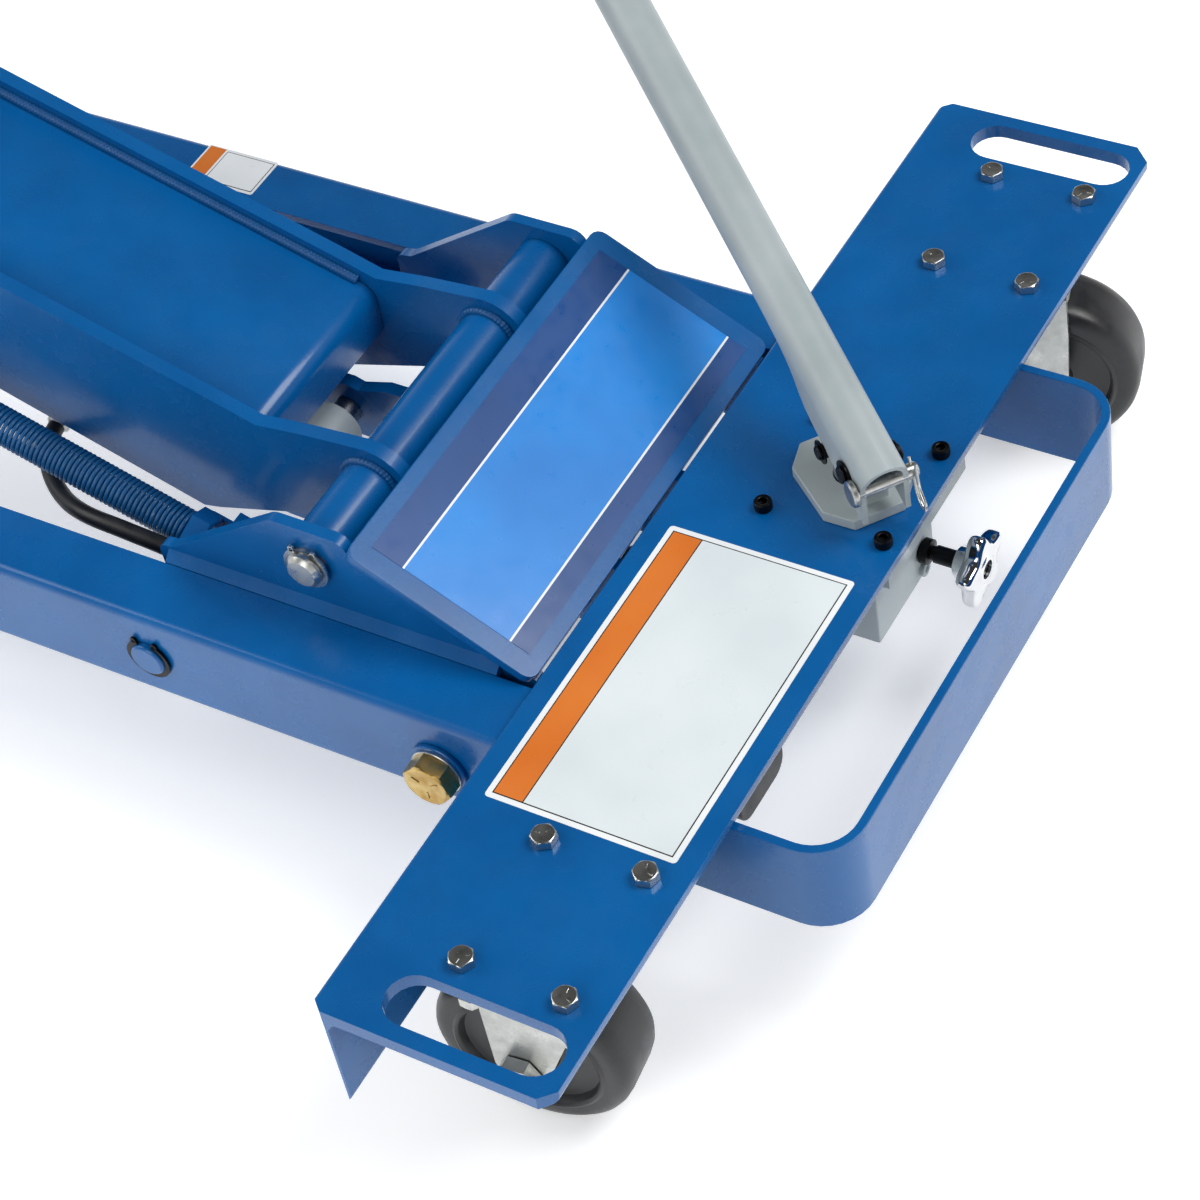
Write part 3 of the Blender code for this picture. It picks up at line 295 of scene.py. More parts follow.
# Yellow chromate over zinc: straw to amber clouds.
YELLOW_ZINC = plated("yellow_chromate_zinc", "#CDB57A", "#B08A45", 0.26, 0.46, patch_mm=9.0)
# Hot-blackened alloy steel: near black with an oily sheen.
BLACK_OXIDE = plated("black_oxide_steel", "#2B2C2E", "#1B1C1E", 0.3, 0.46)
# Polished chrome plate over a zinc casting: soft waves left by polishing.
CHROME = plated("polished_chrome_plate", "#E6E7E8", "#D9DADC", 0.05, 0.14, grain_mm=7.0, depth=0.08)
# Ground bar and spring wire.
GROUND_STEEL = plated("ground_steel", "#B9BBBD", "#94979A", 0.2, 0.36, grain_mm=0.8)
# Spring wire painted over in place: blue enamel with pale rubbed spots scattered over the wire.
SPRING_ENAMEL = coated("blue_enamel_on_spring", "#0F5890", "#0A4776", "#7C99B0", 0.34, 0.5, orange_peel_mm=1.5,
                       chips=0.62, coat=0.1)
# Moulded polyurethane wheel and rubber: black with a grey bloom.
WHEEL_RUBBER = moulded("moulded_black_wheel", "#17181A", "#2C2E30", 0.34, 0.55, 1.5, 0.08)
HOSE_RUBBER = moulded("hose_cover_rubber", "#141517", "#232527", 0.4, 0.55, 1.0, 0.06)
BLACK_PLASTIC = moulded("moulded_black_plastic", "#1B1D1F", "#2A2C2E", 0.42, 0.6, 0.9, 0.05)
# Vinyl labels.
NAVY_PRINT = printed("navy_printed_vinyl", "#00468A", "#003C7A")
AZURE_PRINT = printed("azure_printed_vinyl", "#0086DE", "#0077CC")
WHITE_PRINT = printed("white_printed_vinyl", "#EEF1F2", "#E2E6E8")
ORANGE_PRINT = printed("orange_printed_vinyl", "#DC7A2E", "#D26E24")
PALE_PRINT = printed("pale_printed_vinyl", "#DDE5E7", "#D3DCDF")
BLACK_PRINT = printed("black_printed_vinyl", "#22262A", "#2B2F33")


# ---- mesh helpers ------------------------------------------------------------------------------
def placed(origin, x_axis, y_axis):
    """Drawing frame at origin in jack millimetres; its Z is x cross y."""
    x = Vector(x_axis).normalized()
    z = x.cross(Vector(y_axis)).normalized()
    y = z.cross(x)
    return Matrix.Translation(Vector(origin)) @ Matrix((x, y, z)).transposed().to_4x4()


def pointing(origin, direction):
    """Drawing frame whose Z runs along direction."""
    z = Vector(direction).normalized()
    x = Vector((1, 0, 0)) if abs(z.x) < 0.9 else Vector((0, 1, 0))
    y = z.cross(x).normalized()
    return placed(origin, y.cross(z), y)


def settle(name, mesh, finishes, body, replaces=(), sharp=32.0):
    """Finished piece: smooth but for its sharp edges, riding on its body."""
    for finish in finishes:
        mesh.materials.append(finish)
    mesh.shade_smooth()
    mesh.set_sharp_from_angle(angle=math.radians(sharp))
    made = bpy.data.objects.new(name, mesh)
    bpy.context.scene.collection.objects.link(made)
    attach(made, body)
    if replaces:
        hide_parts(*replaces)
    return made


def from_bmesh(name, bm, finishes, body, replaces=(), sharp=32.0):
    """Piece from a bmesh in jack millimetres."""
    bmesh.ops.recalc_face_normals(bm, faces=bm.faces)
    mesh = bpy.data.meshes.new(name)
    bm.to_mesh(mesh)
    bm.free()
    mesh.transform(TO_ROW)
    return settle(name, mesh, finishes, body, replaces, sharp)


def add_lathe(bm, where, rings, sides=48, shape=None, loop=False, finish=0):
    """Turned solid: (radius, height) rings about where's Z. shape(angle, radius, height) may vary the radius.
    With loop the profile closes on itself; otherwise its two ends are capped."""
    rows = []
    for radius, height in rings:
        row = []
        for i in range(sides):
            angle = 2 * math.pi * i / sides
            r = shape(angle, radius, height) if shape else radius
            row.append(bm.verts.new(where @ Vector((r * math.cos(angle), r * math.sin(angle), height))))
        rows.append(row)
    made = []
    pairs = list(zip(rows, rows[1:] + rows[:1])) if loop else list(zip(rows, rows[1:]))
    for low, high in pairs:
        for i in range(sides):
            j = (i + 1) % sides
            made.append(bm.faces.new((low[i], low[j], high[j], high[i])))
    if not loop:
        made += [bm.faces.new(rows[0][::-1]), bm.faces.new(rows[-1])]
    for face in made:
        face.material_index = finish
    return made


def add_plate(bm, where, outline, wall, edge=0.0, finish=0):
    """Flat plate from an outline, from Z 0 to wall, with its rims rounded off by edge."""
    faces = []
    inset = [(0.0, edge), (edge * 0.3, edge * 0.3), (edge, 0.0)] if edge else [(0.0, 0.0)]
    centre = Vector((sum(p[0] for p in outline), sum(p[1] for p in outline))) / len(outline)
    levels = [(d, z) for d, z in inset[::-1]] + [(d, wall - z) for d, z in inset]
    rows = []
    for d, z in levels:
        row = []
        for p in outline:
            away = Vector(p) - centre
            q = Vector(p) - away.normalized() * d
            row.append(bm.verts.new(where @ Vector((q.x, q.y, z))))
        rows.append(row)
    count = len(outline)
    for low, high in zip(rows, rows[1:]):
        for i in range(count):
            faces.append(bm.faces.new((low[i], low[(i + 1) % count], high[(i + 1) % count], high[i])))
    faces += [bm.faces.new(rows[0][::-1]), bm.faces.new(rows[-1])]
    for face in faces:
        face.material_index = finish
    return faces


def arc(centre, radius, first, last, steps):
    return [(centre[0] + radius * math.cos(math.radians(first + (last - first) * i / steps)),
             centre[1] + radius * math.sin(math.radians(first + (last - first) * i / steps)))
            for i in range(steps + 1)]


def rounded_rectangle(low, high, radius, steps=6):
    (x0, y0), (x1, y1) = low, high
    r = radius
    return [*arc((x1 - r, y0 + r), r, -90, 0, steps), *arc((x1 - r, y1 - r), r, 0, 90, steps),
            *arc((x0 + r, y1 - r), r, 90, 180, steps), *arc((x0 + r, y0 + r), r, 180, 270, steps)]


def soften(node, finish, width=0.9, body=None, sharp=30.0, angle=35.0):
    """Copy of a CAD node with its hard edges rounded off, in its place."""
    source = frame["nodes"][node]
    bm = bmesh.new()
    bm.from_mesh(source.data)
    bmesh.ops.remove_doubles(bm, verts=bm.verts, dist=2e-6)
    bmesh.ops.dissolve_limit(bm, angle_limit=math.radians(0.8), verts=bm.verts, edges=bm.edges)
    hard = [e for e in bm.edges if len(e.link_faces) == 2 and e.calc_face_angle(0.0) > math.radians(angle)]
    if width:
        bmesh.ops.bevel(bm, geom=hard, offset=width * MM, segments=2, profile=0.5, affect="EDGES",
                        clamp_overlap=True)
    mesh = bpy.data.meshes.new(node + "_finish")
    bm.to_mesh(mesh)
    bm.free()
    made = settle(node + "_finish", mesh, [finish], body or source["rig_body"], (node,), sharp)
    made.modifiers.new("even_normals", "WEIGHTED_NORMAL").keep_sharp = True
    return made


# ---- geometry-node trees -----------------------------------------------------------------------
def new_tree(name, inputs):
    """Geometry tree with named inputs (name, socket kind, value); returns tree, input and output nodes."""
    tree = bpy.data.node_groups.new(name, "GeometryNodeTree")
    tree.interface.new_socket("Geometry", in_out="INPUT", socket_type="NodeSocketGeometry")
    for label, kind, value in inputs:
        socket = tree.interface.new_socket(label, in_out="INPUT", socket_type=kind)
        if value is not None:
            socket.default_value = value
    tree.interface.new_socket("Geometry", in_out="OUTPUT", socket_type="NodeSocketGeometry")
    return tree, tree.nodes.new("NodeGroupInput"), tree.nodes.new("NodeGroupOutput")


def close_tree(tree, geometry, given, output):
    """Ends a tree in Realize Instances and Set Material."""
    real = add_node(tree, "GeometryNodeRealizeInstances", {"Geometry": geometry})
    painted = add_node(tree, "GeometryNodeSetMaterial", {"Geometry": real.outputs["Geometry"],
                                                         "Material": given.outputs["Finish"]})
    tree.links.new(painted.outputs["Geometry"], output.inputs["Geometry"])


def weld_tree():
    """Weld bead along each curve: a round section whose surface ripples with the electrode's steps."""
    tree, given, output = new_tree("weld_bead", [
        ("Finish", "NodeSocketMaterial", None), ("Bead Radius", "NodeSocketFloat", 3.0 * MM),
        ("Ripple Pitch", "NodeSocketFloat", 2.6 * MM), ("Ripple Height", "NodeSocketFloat", 0.5 * MM)])
    fine = add_node(tree, "GeometryNodeResampleCurve", {"Curve": given.outputs["Geometry"], "Length": 0.65 * MM},
                    mode="LENGTH")
    along = add_node(tree, "GeometryNodeSplineParameter").outputs["Length"]
    kept = add_node(tree, "GeometryNodeStoreNamedAttribute",
                    {"Geometry": fine.outputs["Curve"], "Name": "run", "Value": along},
                    data_type="FLOAT", domain="POINT")
    section = add_node(tree, "GeometryNodeCurvePrimitiveCircle",
                       {"Resolution": 10, "Radius": given.outputs["Bead Radius"]})
    tube = add_node(tree, "GeometryNodeCurveToMesh", {"Curve": kept.outputs["Geometry"],
                                                      "Profile Curve": section.outputs["Curve"], "Fill Caps": True})
    run = add_node(tree, "GeometryNodeInputNamedAttribute", {"Name": "run"}, data_type="FLOAT").outputs["Attribute"]
    wander = add_node(tree, "ShaderNodeTexNoise", {"Scale": per_metre(5.0), "Detail": 2.0}).outputs["Fac"]
    step = add_node(tree, "ShaderNodeMath", {0: run, 1: given.outputs["Ripple Pitch"]}, operation="DIVIDE")
    shaken = add_node(tree, "ShaderNodeMath", {0: step.outputs[0], 1: wander}, operation="ADD")
    turns = add_node(tree, "ShaderNodeMath", {0: shaken.outputs[0], 1: math.pi}, operation="MULTIPLY")
    wave = add_node(tree, "ShaderNodeMath", {0: turns.outputs[0]}, operation="SINE")
    scallop = add_node(tree, "ShaderNodeMath", {0: wave.outputs[0]}, operation="ABSOLUTE")
    both = add_node(tree, "ShaderNodeMath", {0: scallop.outputs[0], 1: wander}, operation="ADD")
    lift = add_node(tree, "ShaderNodeMath", {0: both.outputs[0], 1: given.outputs["Ripple Height"]},
                    operation="MULTIPLY")
    normal = add_node(tree, "GeometryNodeInputNormal").outputs["Normal"]
    push = add_node(tree, "ShaderNodeVectorMath", {0: normal, "Scale": lift.outputs[0]}, operation="SCALE")
    rippled = add_node(tree, "GeometryNodeSetPosition", {"Geometry": tube.outputs["Mesh"],
                                                         "Offset": push.outputs["Vector"]})
    close_tree(tree, rippled.outputs["Geometry"], given, output)
    return tree


def row_tree():
    """The same fastener at every point, each turned by its own random angle about Z."""
    tree, given, output = new_tree("fastener_row", [
        ("Finish", "NodeSocketMaterial", None), ("Fastener", "NodeSocketObject", None),
        ("Seed", "NodeSocketInt", 3)])
    part = add_node(tree, "GeometryNodeObjectInfo", {"Object": given.outputs["Fastener"]})
    turn = add_node(tree, "FunctionNodeRandomValue", {"Max": 2 * math.pi, "Seed": given.outputs["Seed"]},
                    data_type="FLOAT")
    angle = next(s for s in turn.outputs if s.enabled)
    spun = add_node(tree, "ShaderNodeCombineXYZ", {"Z": angle})
    set_out = add_node(tree, "GeometryNodeInstanceOnPoints",
                       {"Points": given.outputs["Geometry"], "Instance": part.outputs["Geometry"],
                        "Rotation": spun.outputs["Vector"]})
    close_tree(tree, set_out.outputs["Instances"], given, output)
    return tree


def coil_tree():
    """Close-wound spring of round wire, from the origin up Z."""
    tree, given, output = new_tree("close_wound_spring", [
        ("Finish", "NodeSocketMaterial", None), ("Coil Radius", "NodeSocketFloat", 11.5 * MM),
        ("Wire Radius", "NodeSocketFloat", 1.45 * MM), ("Turns", "NodeSocketFloat", 80.0),
        ("Length", "NodeSocketFloat", 280.0 * MM)])
    helix = add_node(tree, "GeometryNodeCurveSpiral",
                     {"Resolution": 26, "Rotations": given.outputs["Turns"],
                      "Start Radius": given.outputs["Coil Radius"], "End Radius": given.outputs["Coil Radius"],
                      "Height": given.outputs["Length"]})
    section = add_node(tree, "GeometryNodeCurvePrimitiveCircle",
                       {"Resolution": 8, "Radius": given.outputs["Wire Radius"]})
    wire = add_node(tree, "GeometryNodeCurveToMesh", {"Curve": helix.outputs["Curve"],
                                                      "Profile Curve": section.outputs["Curve"], "Fill Caps": True})
    close_tree(tree, wire.outputs["Mesh"], given, output)
    return tree


def grown(name, base, tree, finish, **inputs):
    """Plain mesh that the tree makes from base; base and modifier are removed."""
    holder = bpy.data.objects.new(name + "_source", base)
    bpy.context.scene.collection.objects.link(holder)
    modifier = holder.modifiers.new(tree.name, "NODES")
    modifier.node_group = tree
    named = {s.name: s.identifier for s in tree.interface.items_tree if s.in_out == "INPUT"}
    modifier[named["Finish"]] = finish
    for label, value in inputs.items():
        modifier[named[label.replace("_", " ")]] = value
    bpy.context.view_layer.update()
    mesh = bpy.data.meshes.new_from_object(holder.evaluated_get(bpy.context.evaluated_depsgraph_get()))
    mesh.name = name
    holder.modifiers.remove(modifier)
    bpy.data.objects.remove(holder)
    mesh.materials.clear()
    return mesh


WELD, ROW, COIL = weld_tree(), row_tree(), coil_tree()


def welds(name, paths, radius, body):
    """Weld beads along paths of jack millimetres, all on one body."""
    curve = bpy.data.curves.new(name, "CURVE")
    curve.dimensions = "3D"
    for path in paths:
        spline = curve.splines.new("POLY")
        spline.points.add(len(path) - 1)
        for point, place in zip(spline.points, path):
            point.co = (*(TO_ROW @ Vector(place)), 1.0)
    # The beads take the darker weld enamel, which paints in the shade of the corners they fill.
    mesh = grown(name, curve, WELD, SHADED_WELD_ENAMEL, Bead_Radius=radius * MM)
    return settle(name, mesh, [SHADED_WELD_ENAMEL], body, sharp=180.0)


def fastener_row(name, fastener, places, finish, body, seed):
    """Copies of a fastener, drawn in jack millimetres about the origin, at each place."""
    model = bpy.data.objects.new(name + "_model", fastener)
    bpy.context.scene.collection.objects.link(model)
    points = bpy.data.meshes.new(name + "_points")
    points.from_pydata([TO_ROW @ Vector(p) for p in places], [], [])
    mesh = grown(name, points, ROW, finish, Fastener=model, Seed=seed)
    bpy.data.objects.remove(model)
    return settle(name, mesh, [finish], body)


# ---- fasteners ---------------------------------------------------------------------------------
def hex_shape(across_flats, top, chamfer_flat):
    """Radius of a hexagon head at an angle, cut by the round chamfer cone near its top."""
    def radius(angle, wanted, height):
        if wanted < across_flats / 2.0:
            return wanted
        corner = across_flats / 2.0 / math.cos((angle + math.pi / 6) % (math.pi / 3) - math.pi / 6)
        cone = across_flats / 2.0 * chamfer_flat + (top - height) * math.tan(math.radians(60))
        return min(corner, cone)
    return radius


def add_hex_head(bm, where, across_flats, height, finish=0, dish=0.0):
    """Hexagon head with a chamfered, slightly dished top, standing on where's XY plane."""
    flat = across_flats / 2.0
    rings = [(flat, 0.0), (flat, height * 0.55), (flat, height * 0.72), (flat, height * 0.82),
             (flat, height * 0.9), (flat, height * 0.96), (flat, height), (flat * 0.9, height + 0.01),
             (flat * 0.7, height - dish), (flat * 0.2, height - dish)]
    add_lathe(bm, where, rings, 48, hex_shape(across_flats, height, 0.95), finish=finish)


def small_hex_bolt():
    """Head, washer face and radial grade marks of a small hexagon bolt, in metres about its seat."""
    bm = bmesh.new()
    add_lathe(bm, Matrix.Identity(4), [(6.6, 0.02), (6.8, 0.1), (6.8, 0.5), (6.4, 0.6)], 32)
    add_hex_head(bm, Matrix.Translation((0, 0, 0.45)), 14.3, 6.2, dish=0.25)
    for i in range(3):
        mark = Matrix.Translation((0, 0, 6.35)) @ Matrix.Rotation(math.radians(120 * i), 4, "Z")
        add_plate(bm, mark, [(2.2, -0.35), (5.4, -0.35), (5.4, 0.35), (2.2, 0.35)], 0.45)
    return fastener_mesh("small_hex_bolt", bm)


def socket_screw():
    """Knurled socket-head cap screw with its hexagon recess, in metres about its seat."""
    bm = bmesh.new()
    head, top = 5.7, 6.8

    def knurled(angle, radius, height):
        if radius > 5.5 and 1.0 < height < 5.6:
            return radius + 0.14 * math.cos(30 * angle)
        if radius < 2.9:
            return radius / math.cos((angle + math.pi / 6) % (math.pi / 3) - math.pi / 6)
        return radius

    rings = [(head - 0.4, 0.0), (head, 0.5), (head, 1.1), (head, 5.5), (head, 6.2), (head - 0.6, top),
             (3.5, top), (3.0, top - 0.3), (2.85, top - 0.4), (2.84, top - 3.2), (0.4, top - 3.8)]
    add_lathe(bm, Matrix.Identity(4), rings, 120, knurled)
    return fastener_mesh("socket_screw", bm)


def fastener_mesh(name, bm):
    bmesh.ops.recalc_face_normals(bm, faces=bm.faces)
    mesh = bpy.data.meshes.new(name)
    bm.to_mesh(mesh)
    bm.free()
    mesh.transform(Matrix.Scale(MM, 4))
    return mesh


CASTER_BOLT_X, CASTER_BOLT_Y = 46.05, 33.25     # half the bolt pattern of a caster plate
PUMP_SCREWS = 41.0                              # half the square of the pump's screws


def member_bolts():
    places = []
    for side, _ in SIDES:
        centre = middle("caster_plate_" + side)
        places += [(centre.x + i * CASTER_BOLT_X, centre.y + j * CASTER_BOLT_Y, 0.0) for i in (1, -1) for j in (1, -1)]
    fastener_row("caster_bolts", small_hex_bolt(), places, ZINC, "chassis", 5)
    under = [(x, y, -27.9) for x, y, _ in places]
    nuts = bmesh.new()
    for place in under:
        where = placed(place, (1, 0, 0), (0, -1, 0))
        add_hex_head(nuts, where, 14.3, 8.0, dish=0.2)
        add_lathe(nuts, where, [(4.4, 1.0), (4.75, 2.0), (4.75, 11.0), (4.1, 12.0)], 24)
    from_bmesh("caster_nuts", nuts, [ZINC], "chassis")
    centre = middle("pump_body")
    screws = [(centre.x + i * PUMP_SCREWS, centre.y + j * PUMP_SCREWS, 0.0) for i in (1, -1) for j in (1, -1)]
    fastener_row("pump_screws", socket_screw(), screws, BLACK_OXIDE, "chassis", 8)


def retaining_ring(name, centre, axis, inner, outer, wall, body, finish=None, opening=24.0):
    """Spring-steel snap ring in a pin's groove, open on one side, with its two eyed lugs."""
    bm = bmesh.new()
    where = placed(centre, (0, 0, 1), Vector(axis).cross((0, 0, 1)))
    ring = [*arc((0, 0), outer, opening, 360 - opening, 40), *arc((0, 0), inner, 360 - opening, opening, 40)]
    count = len(ring)
    rows = [[bm.verts.new(where @ Vector((x, y, z))) for x, y in ring] for z in (-wall / 2, wall / 2)]
    half = count // 2
    for i in range(count):
        j = (i + 1) % count
        bm.faces.new((rows[0][i], rows[0][j], rows[1][j], rows[1][i]))
    for i in range(half - 1):
        for row in rows:
            bm.faces.new((row[i], row[i + 1], row[count - 2 - i], row[count - 1 - i]))
    for sign in (1, -1):
        turn = math.radians(sign * (opening + 5.0))
        lug = where @ Matrix.Translation((math.cos(turn) * (outer + 0.4), math.sin(turn) * (outer + 0.4), 0.0))
        add_lathe(bm, lug, [(0.9, -wall / 2), (2.2, -wall / 2), (2.2, wall / 2), (0.9, wall / 2)], 16, loop=True)
    return from_bmesh(name, bm, [finish or BLACK_OXIDE], body)


def cross_bolts():
    """Two big yellow hexagon bolts that clamp the cross tube, each on a plain washer and a painted boss."""
    for side, sign in SIDES:
        low, high = box("cross_bolt_" + side)
        centre = middle("cross_tube")
        face = (high.x if sign > 0 else -low.x) - 18.5
        bm = bmesh.new()
        where = placed((sign * (face + 0.2), centre.y, centre.z), (0, math.cos(0.3), math.sin(0.3)),
                       (0, -sign * math.sin(0.3), sign * math.cos(0.3)))
        add_lathe(bm, where, [(19.6, 0.0), (19.8, 0.6), (19.8, 2.4), (19.2, 3.0), (12.0, 3.0)], 56, finish=1)
        add_lathe(bm, where, [(17.2, 2.8), (17.4, 3.2), (17.4, 4.8), (17.0, 5.2), (10.0, 5.2)], 56, finish=2)
        add_hex_head(bm, where @ Matrix.Translation((0, 0, 5.0)), 30.0, 12.6, dish=0.5)
        for i in range(3):
            mark = where @ Matrix.Translation((0, 0, 17.0)) @ Matrix.Rotation(math.radians(120 * i + 15), 4, "Z")
            add_plate(bm, mark, [(5.0, -0.45), (10.5, -0.45), (10.5, 0.45), (5.0, 0.45)], 0.6)
        add_lathe(bm, where, [(9.6, -60.0), (10.0, -59.0), (10.0, 1.0)], 32)
        from_bmesh("cross_bolt_finish_" + side, bm, [YELLOW_ZINC, BLUE_ENAMEL, ZINC], "chassis",
                   ("cross_bolt_" + side,))


def pins():
    """Pivot and rail pins with turned chamfers, and the rings that hold them."""
    low, high = box("pivot_pin")
    centre, radius = (low + high) / 2, (high.z - low.z) / 2
    reach = high.x
    bm = bmesh.new()
    end = [(radius - 2.8, reach), (radius - 0.6, reach - 2.0), (radius, reach - 2.8), (radius, reach - 5.2),
           (radius - 1.0, reach - 5.4), (radius - 1.0, reach - 7.4), (radius, reach - 7.6)]
    rings = [(0.5, reach), *end, *[(r, -h) for r, h in end[::-1]], (0.5, -reach)]
    add_lathe(bm, placed((0, centre.y, centre.z), (0, 1, 0), (0, 0, 1)), rings, 48)
    from_bmesh("pivot_pin_finish", bm, [ZINC], "chassis", ("pivot_pin",))
    for side, sign in SIDES:
        retaining_ring("pivot_ring_" + side, (sign * (reach - 6.4), centre.y, centre.z), (sign, 0, 0), radius - 0.9,
                       radius + 3.4, 1.6, "chassis", ZINC)
        node = "rail_pin_" + side
        soften(node, BLUE_ENAMEL, 0.6)
        low, high = box(node)
        rail_centre, rail_radius = (low + high) / 2, (high.z - low.z) / 2
        outer = max(abs(low.x), abs(high.x))
        retaining_ring("rail_pin_ring_" + side, (sign * (outer - 3.2), rail_centre.y, rail_centre.z), (sign, 0, 0),
                       rail_radius + 0.1, rail_radius + 3.6, 1.7, "chassis", BLACK_OXIDE)


# ---- plates, rails and arm ---------------------------------------------------------------------
def painted_plates():
    for node, width in (("rear_cross_member", 1.2), ("side_rail_left", 1.0), ("side_rail_right", 1.0),
                        ("rear_guard_loop", 0.9), ("gusset_left", 0.9), ("gusset_right", 0.9), ("cover_plate", 0.9),
                        ("ram_cradle_left", 0.9), ("ram_cradle_right", 0.9), ("cross_tube", 0.5),
                        ("front_cross_bar", 0.9), ("front_bracket_left", 0.9), ("front_bracket_right", 0.9),
                        ("arm_plate_left", 0.9), ("arm_plate_right", 0.9),
                        ("pivot_tube", 0.5), ("head_bracket", 0.8), ("level_link", 0.8), ("saddle", 1.0),
                        ("spring_bracket", 0.6), ("spring_plug_rear", 0.5), ("spring_plug_front", 0.5)):
        soften(node, BLUE_ENAMEL, width)
    for node in ("head_pin", "saddle_pin", "level_link_pin", "front_axle", "caster_axle_left", "caster_axle_right"):
        soften(node, ZINC, 0.4)
    for node in ("caster_plate_left", "caster_plate_right", "caster_fork_left", "caster_fork_right"):
        soften(node, ZINC, 0.7)
    for node in ("ram_rod_pin", "ram_base_pin"):
        soften(node, GROUND_STEEL, 0.4)
    arm_top_plate()


def chassis_welds():
    """Fillet beads where the rails meet the rear member."""
    rail_top = box("side_rail_left")[1].z
    paths = []
    for side, sign in SIDES:
        rail_low, rail_high = box("side_rail_" + side)
        outer = max(abs(rail_low.x), abs(rail_high.x))
        paths.append([(sign * (outer + 0.6), rail_high.y - 1.0, rail_top - 6.0),
                      (sign * (outer + 0.6), rail_high.y - 1.0, rail_low.z + 6.0)])
        paths.append([(sign * (outer + 0.6), rail_high.y + 6.0, rail_top + 0.5),
                      (sign * (outer + 0.6), rail_high.y + 70.0, rail_top + 0.5)])
    welds("chassis_welds", paths, 3.0, "chassis")


ARM_SLOPE = math.radians(17.3)
TOP_PLATE_WALL, TOP_PLATE_BEND, TOP_PLATE_LEG = 8.0, 14.0, 39.0


def top_plate_bend():
    """(y, z) where the top plate's flat ends and its bend begins, and the direction of the flat to the rear."""
    pivot = middle("pivot_tube")
    leg_face = box("arm_top_plate")[1].y
    back = Vector((math.cos(ARM_SLOPE), -math.sin(ARM_SLOPE)))
    on_flat = Vector((pivot.y - 112.0, pivot.z + 20.0))
    corner = on_flat + back * ((leg_face - on_flat.x) / back.x)
    return corner - back * TOP_PLATE_BEND * math.tan((math.pi / 2 - ARM_SLOPE) / 2), back


def arm_top_plate():
    """Flat plate between the arm's sides, folded down over their rear ends."""
    inside = box("arm_top_plate")[1].x
    bend_start, back = top_plate_bend()
    up = Vector((-back.y, back.x))
    centre = bend_start - up * TOP_PLATE_BEND
    front = bend_start - back * 446.0
    first = math.degrees(math.atan2(up.y, up.x))
    foot = centre.y + TOP_PLATE_BEND - TOP_PLATE_LEG
    outline = [tuple(front), *arc(centre, TOP_PLATE_BEND, first, 0.0, 8), (centre.x + TOP_PLATE_BEND, foot),
               (centre.x + TOP_PLATE_BEND - TOP_PLATE_WALL, foot),
               *arc(centre, TOP_PLATE_BEND - TOP_PLATE_WALL, 0.0, first, 8), tuple(front - up * TOP_PLATE_WALL)]
    bm = bmesh.new()
    add_plate(bm, placed((-inside, 0, 0), (0, 1, 0), (0, 0, 1)), outline, 2 * inside)
    bmesh.ops.recalc_face_normals(bm, faces=bm.faces)
    hard = [e for e in bm.edges if e.calc_face_angle(0.0) > math.radians(35)]
    bmesh.ops.bevel(bm, geom=hard, offset=0.8, segments=2, profile=0.5, affect="EDGES", clamp_overlap=True)
    from_bmesh("arm_top_plate_finish", bm, [BLUE_ENAMEL], "lift_arm", ("arm_top_plate",), sharp=30.0)


def arm_welds():
    """Heavy beads between the arm's top plate and its two side plates, and round the pivot tube."""
    inner = box("arm_top_plate")[1].x
    outer = box("arm_plate_right")[0].x
    y, z = middle("pivot_tube").y, middle("pivot_tube").z
    bend_start, back = top_plate_bend()
    start, ahead = Vector((0.0, *bend_start)), Vector((0.0, *-back))
    paths, collars = [], []
    for sign in (1.0, -1.0):
        first = start + ahead * 2.0 + Vector((sign * (inner - 0.4), 0.0, 1.2))
        paths.append([first, first + ahead * 440.0])
        for face in (abs(outer) + 0.8, inner - 0.6):
            ring = [(sign * face, y + 19.8 * math.cos(a), z + 19.8 * math.sin(a))
                    for a in (math.radians(10 * i) for i in range(37))]
            collars.append(ring)
    welds("arm_seam_welds", paths, 3.6, "lift_arm")
    welds("pivot_tube_welds", collars, 2.4, "lift_arm")


# ---- labels ------------------------------------------------------------------------------------
FILM = 0.25
COVER_FOOT, COVER_TOP = Vector((0.0, -81.7, -4.9)), Vector((0.0, -202.3, 59.4))    # edges of the cover's top face
COVER_LABEL_HALF = 141.3


def add_panel(bm, where, low, high, lift, finish, corner=0.0):
    """Printed area of a label, as a thin film."""
    outline = (rounded_rectangle(low, high, corner) if corner
               else [low, (high[0], low[1]), high, (low[0], high[1])])
    add_plate(bm, where @ Matrix.Translation((0, 0, lift)), outline, FILM, finish=finish)


def cover_label():
    """Wide blank label on the sloping cover: an azure field between white lines and navy strips."""
    slope = math.atan2(COVER_TOP.z - COVER_FOOT.z, COVER_FOOT.y - COVER_TOP.y)
    down = Vector((0.0, math.cos(slope), -math.sin(slope)))
    where = placed(COVER_TOP, (-1, 0, 0), -down)
    # Distances down the slope, from the cover's upper edge.
    bands = [(11.0, 33.2, 0), (33.2, 34.6, 1), (34.6, 110.8, 2), (110.8, 112.2, 1), (112.2, 125.6, 0)]
    bm = bmesh.new()
    for first, last, finish in bands:
        add_panel(bm, where, (-COVER_LABEL_HALF, -last), (COVER_LABEL_HALF, -first), 0.05, finish)
    from_bmesh("cover_label", bm, [NAVY_PRINT, WHITE_PRINT, AZURE_PRINT], "chassis")


